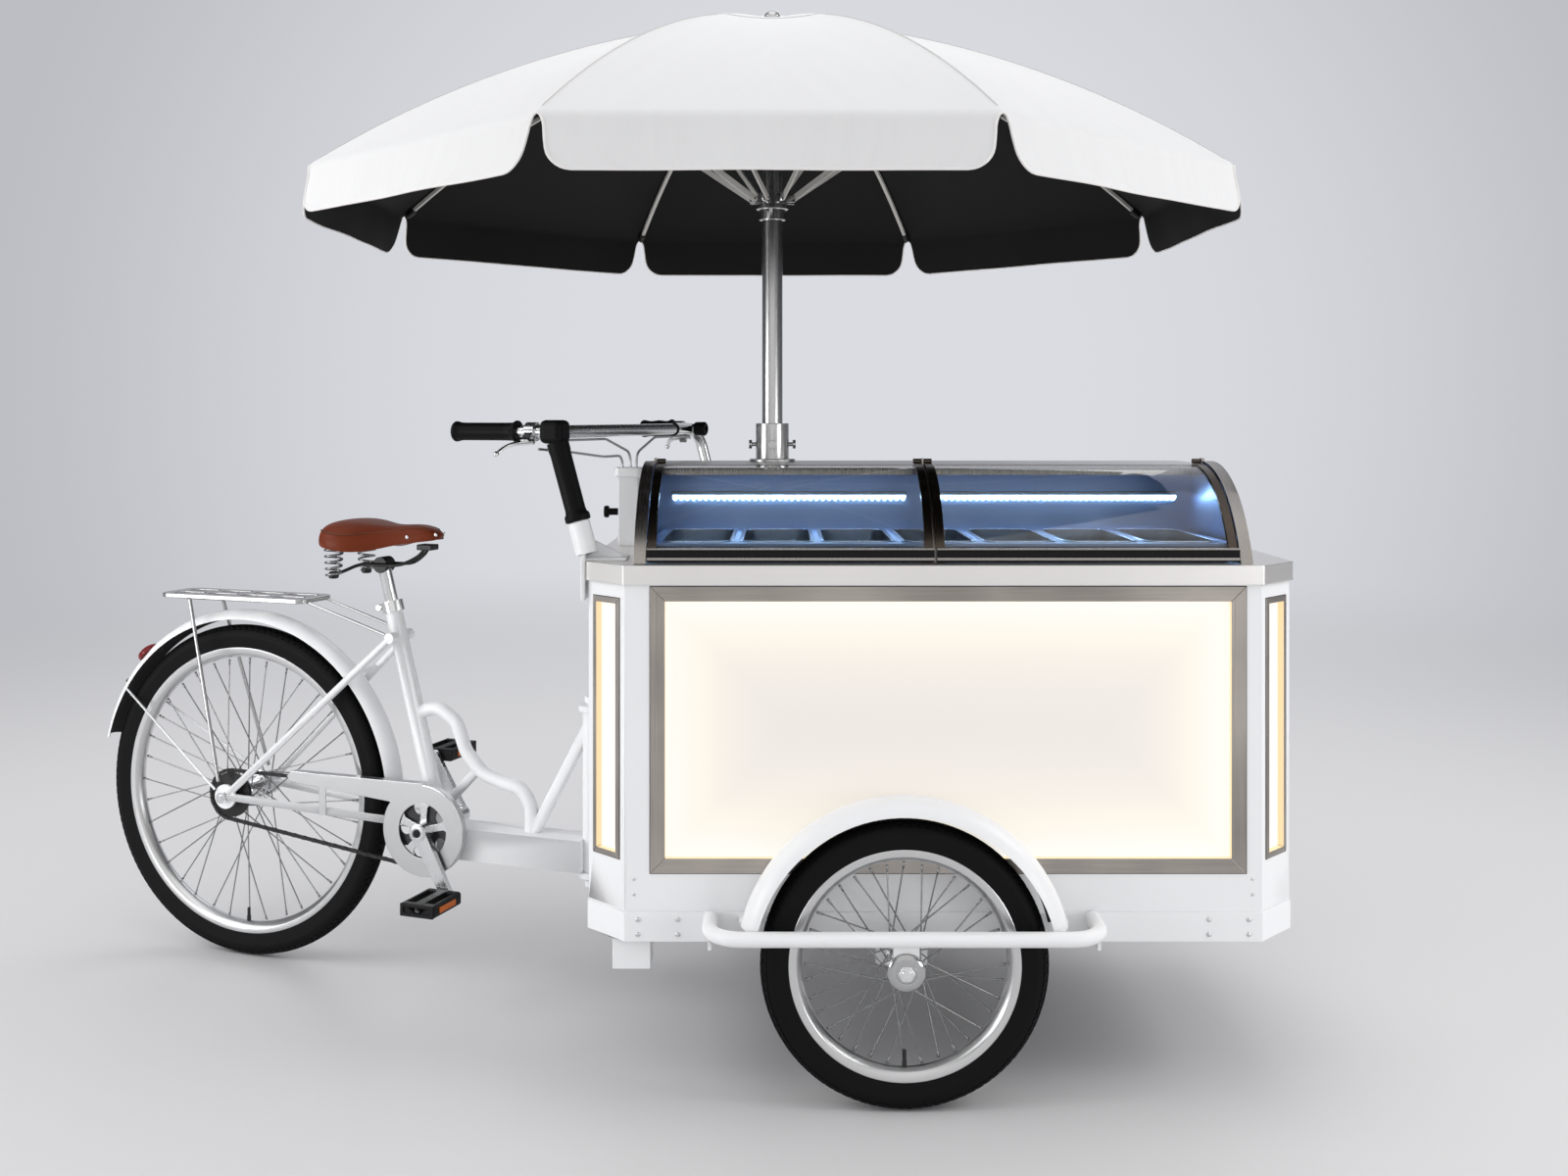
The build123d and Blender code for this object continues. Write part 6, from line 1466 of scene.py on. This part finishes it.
def valance_place(rib_angle, side, share, drop, gore):
    """Point of the valance: a slanted, rounded side edge, and soft waves that grow towards the lower edge."""
    edge = 0.001 + 0.010 * min(1.0, drop / 0.018) ** 0.5 + 0.011 * (drop / valance_drop) ** 2
    over = max(0.0, drop - valance_drop + valance_corner)
    edge += valance_corner - math.sqrt(max(0.0, valance_corner ** 2 - over ** 2))
    inset = edge + (side_half - edge) * share
    across = -side * (1 - inset / side_half)
    down = drop / valance_drop
    wave = math.sin(5.3 * across + 1.7 * gore) + 0.6 * math.sin(9.1 * across + 2.9 * gore + 0.6)
    push = valance_flare * down ** 1.2 + 0.0026 * down * wave
    return gore_place(rib_angle, side, inset, hem_reach, drop, push, hem_z)


def hem_place(rib_angle, side, share, fold):
    """Point of the rounded fold between slope and valance; fold runs from 0 at the slope to 1."""
    high = slope_place(rib_angle, side, share, hem_reach - hem_round)
    crease = slope_place(rib_angle, side, share, hem_reach)
    low = crease - Vector((0, 0, hem_round))
    return high * (1 - fold) ** 2 + crease * 2 * fold * (1 - fold) + low * fold ** 2


def slope_run(start, end):
    """Length of cloth from one reach to another along the rib."""
    return math.dist((start, arc_height(canopy_profile, start)), (end, arc_height(canopy_profile, end)))


def slope_rows(shape, spread, rib_angle, reaches, run, lift):
    """Rows of points on a gore pair's slope; spread keeps each point's place on the flat cloth."""
    rows = []
    for step, reach in enumerate(reaches):
        run += slope_run(reaches[step - 1], reach) if step else 0
        row = []
        for side, share in columns:
            vert = shape.verts.new(slope_place(rib_angle, side, share, reach, lift))
            spread[vert] = (side * share * reach * math.sin(gore_half), run)
            row.append(vert)
        rows.append(row)
    return rows, run


def sewn(name, shape, spread):
    """Cloth piece thickened inwards, black on its inner side, and its flat area."""
    cloth = shape.loops.layers.uv["cloth"]
    for face in shape.faces:
        for loop in face.loops:
            loop[cloth].uv = spread[loop.vert]
    area = sum(face.calc_area() for face in shape.faces)
    piece = shaped(name, shape, canopy_white, canopy_black)
    piece.data.shade_smooth()
    thick = piece.modifiers.new("thickness", "SOLIDIFY")
    thick.thickness = cloth_thickness
    thick.offset = -1
    thick.material_offset = 1
    piece.data = baked(piece)
    piece.data.set_sharp_from_angle(angle=math.radians(75))
    return piece, area


def gathered_up(piece):
    """Give a piece of cloth its own copy of its mesh."""
    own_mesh(piece)


for index, rib_angle in rib_angles.items():
    rib_number = round(math.degrees(rib_angle) / 45 - 0.5)
    gores = {1: rib_number % 8, -1: (rib_number - 1) % 8}
    body = f"umbrella_rib_{index}"
    cap_shape = bmesh.new()
    cap_shape.loops.layers.uv.new("cloth")
    cap_spread = {}
    cap_rows, cap_run = slope_rows(cap_shape, cap_spread, rib_angle, cap_reaches, 0.0, cap_step)
    woven(cap_shape, cap_rows)
    cap_pair, cap_area = sewn(f"canopy_cap_{index}", cap_shape, cap_spread)
    shape = bmesh.new()
    shape.loops.layers.uv.new("cloth")
    spread = {}
    rows, run = slope_rows(shape, spread, rib_angle, reaches, slope_run(crown_reach, under_cap), 0.0)
    run += slope_run(reaches[-1], hem_reach)
    for fold in folds:
        row = []
        for side, share in columns:
            vert = shape.verts.new(hem_place(rib_angle, side, share, fold))
            spread[vert] = (side * share * side_half, run - hem_round * (1 - 2 * fold))
            row.append(vert)
        rows.append(row)
    hem = []
    for side in (-1, 1):
        picked = [column for column, (way, share) in enumerate(columns) if way == side or share == 0]
        hang = [[rows[-1][column] for column in picked]]
        for drop in drops:
            row = []
            for column in picked:
                share = columns[column][1]
                place = valance_place(rib_angle, side, share, drop, gores[side])
                if drop < hem_round:
                    place += hem_place(rib_angle, side, share, 0.75) - hem_place(rib_angle, side, share, 1.0)
                    place.z += drop - hem_round
                vert = shape.verts.new(place)
                spread[vert] = (side * share * side_half, run + drop)
                row.append(vert)
            hang.append(row)
        woven(shape, hang)
        edge = [valance_place(rib_angle, side, 0, drop, gores[side]) for drop in drops]
        low = [valance_place(rib_angle, side, share, valance_drop, gores[side]) for share in shares[1:]]
        hem.append(edge + low)
    woven(shape, rows)
    gore_pair, gore_area = sewn(f"canopy_gore_{index}", shape, spread)
    binding = wire(f"canopy_binding_{index}", body, "canopy_fabric",
                   [hem[0][::-1] + [hem_place(rib_angle, 1, 0, 0.5)] + hem[1]], 0.0019, binding_white)
    seam_line = [slope_place(rib_angle, 1, 0, reach, seam_lift) for reach in reaches[2:]]
    seam = wire(f"canopy_seam_{index}", body, "canopy_fabric", [seam_line], 0.0011, seam_white)
    fitted(gore_pair, body, "canopy_fabric", "umbrella_canopy")
    fitted(cap_pair, body, "canopy_fabric", "umbrella_canopy")
    for piece in (gore_pair, binding, seam):
        gathered_up(piece)
    gathered_up(cap_pair)
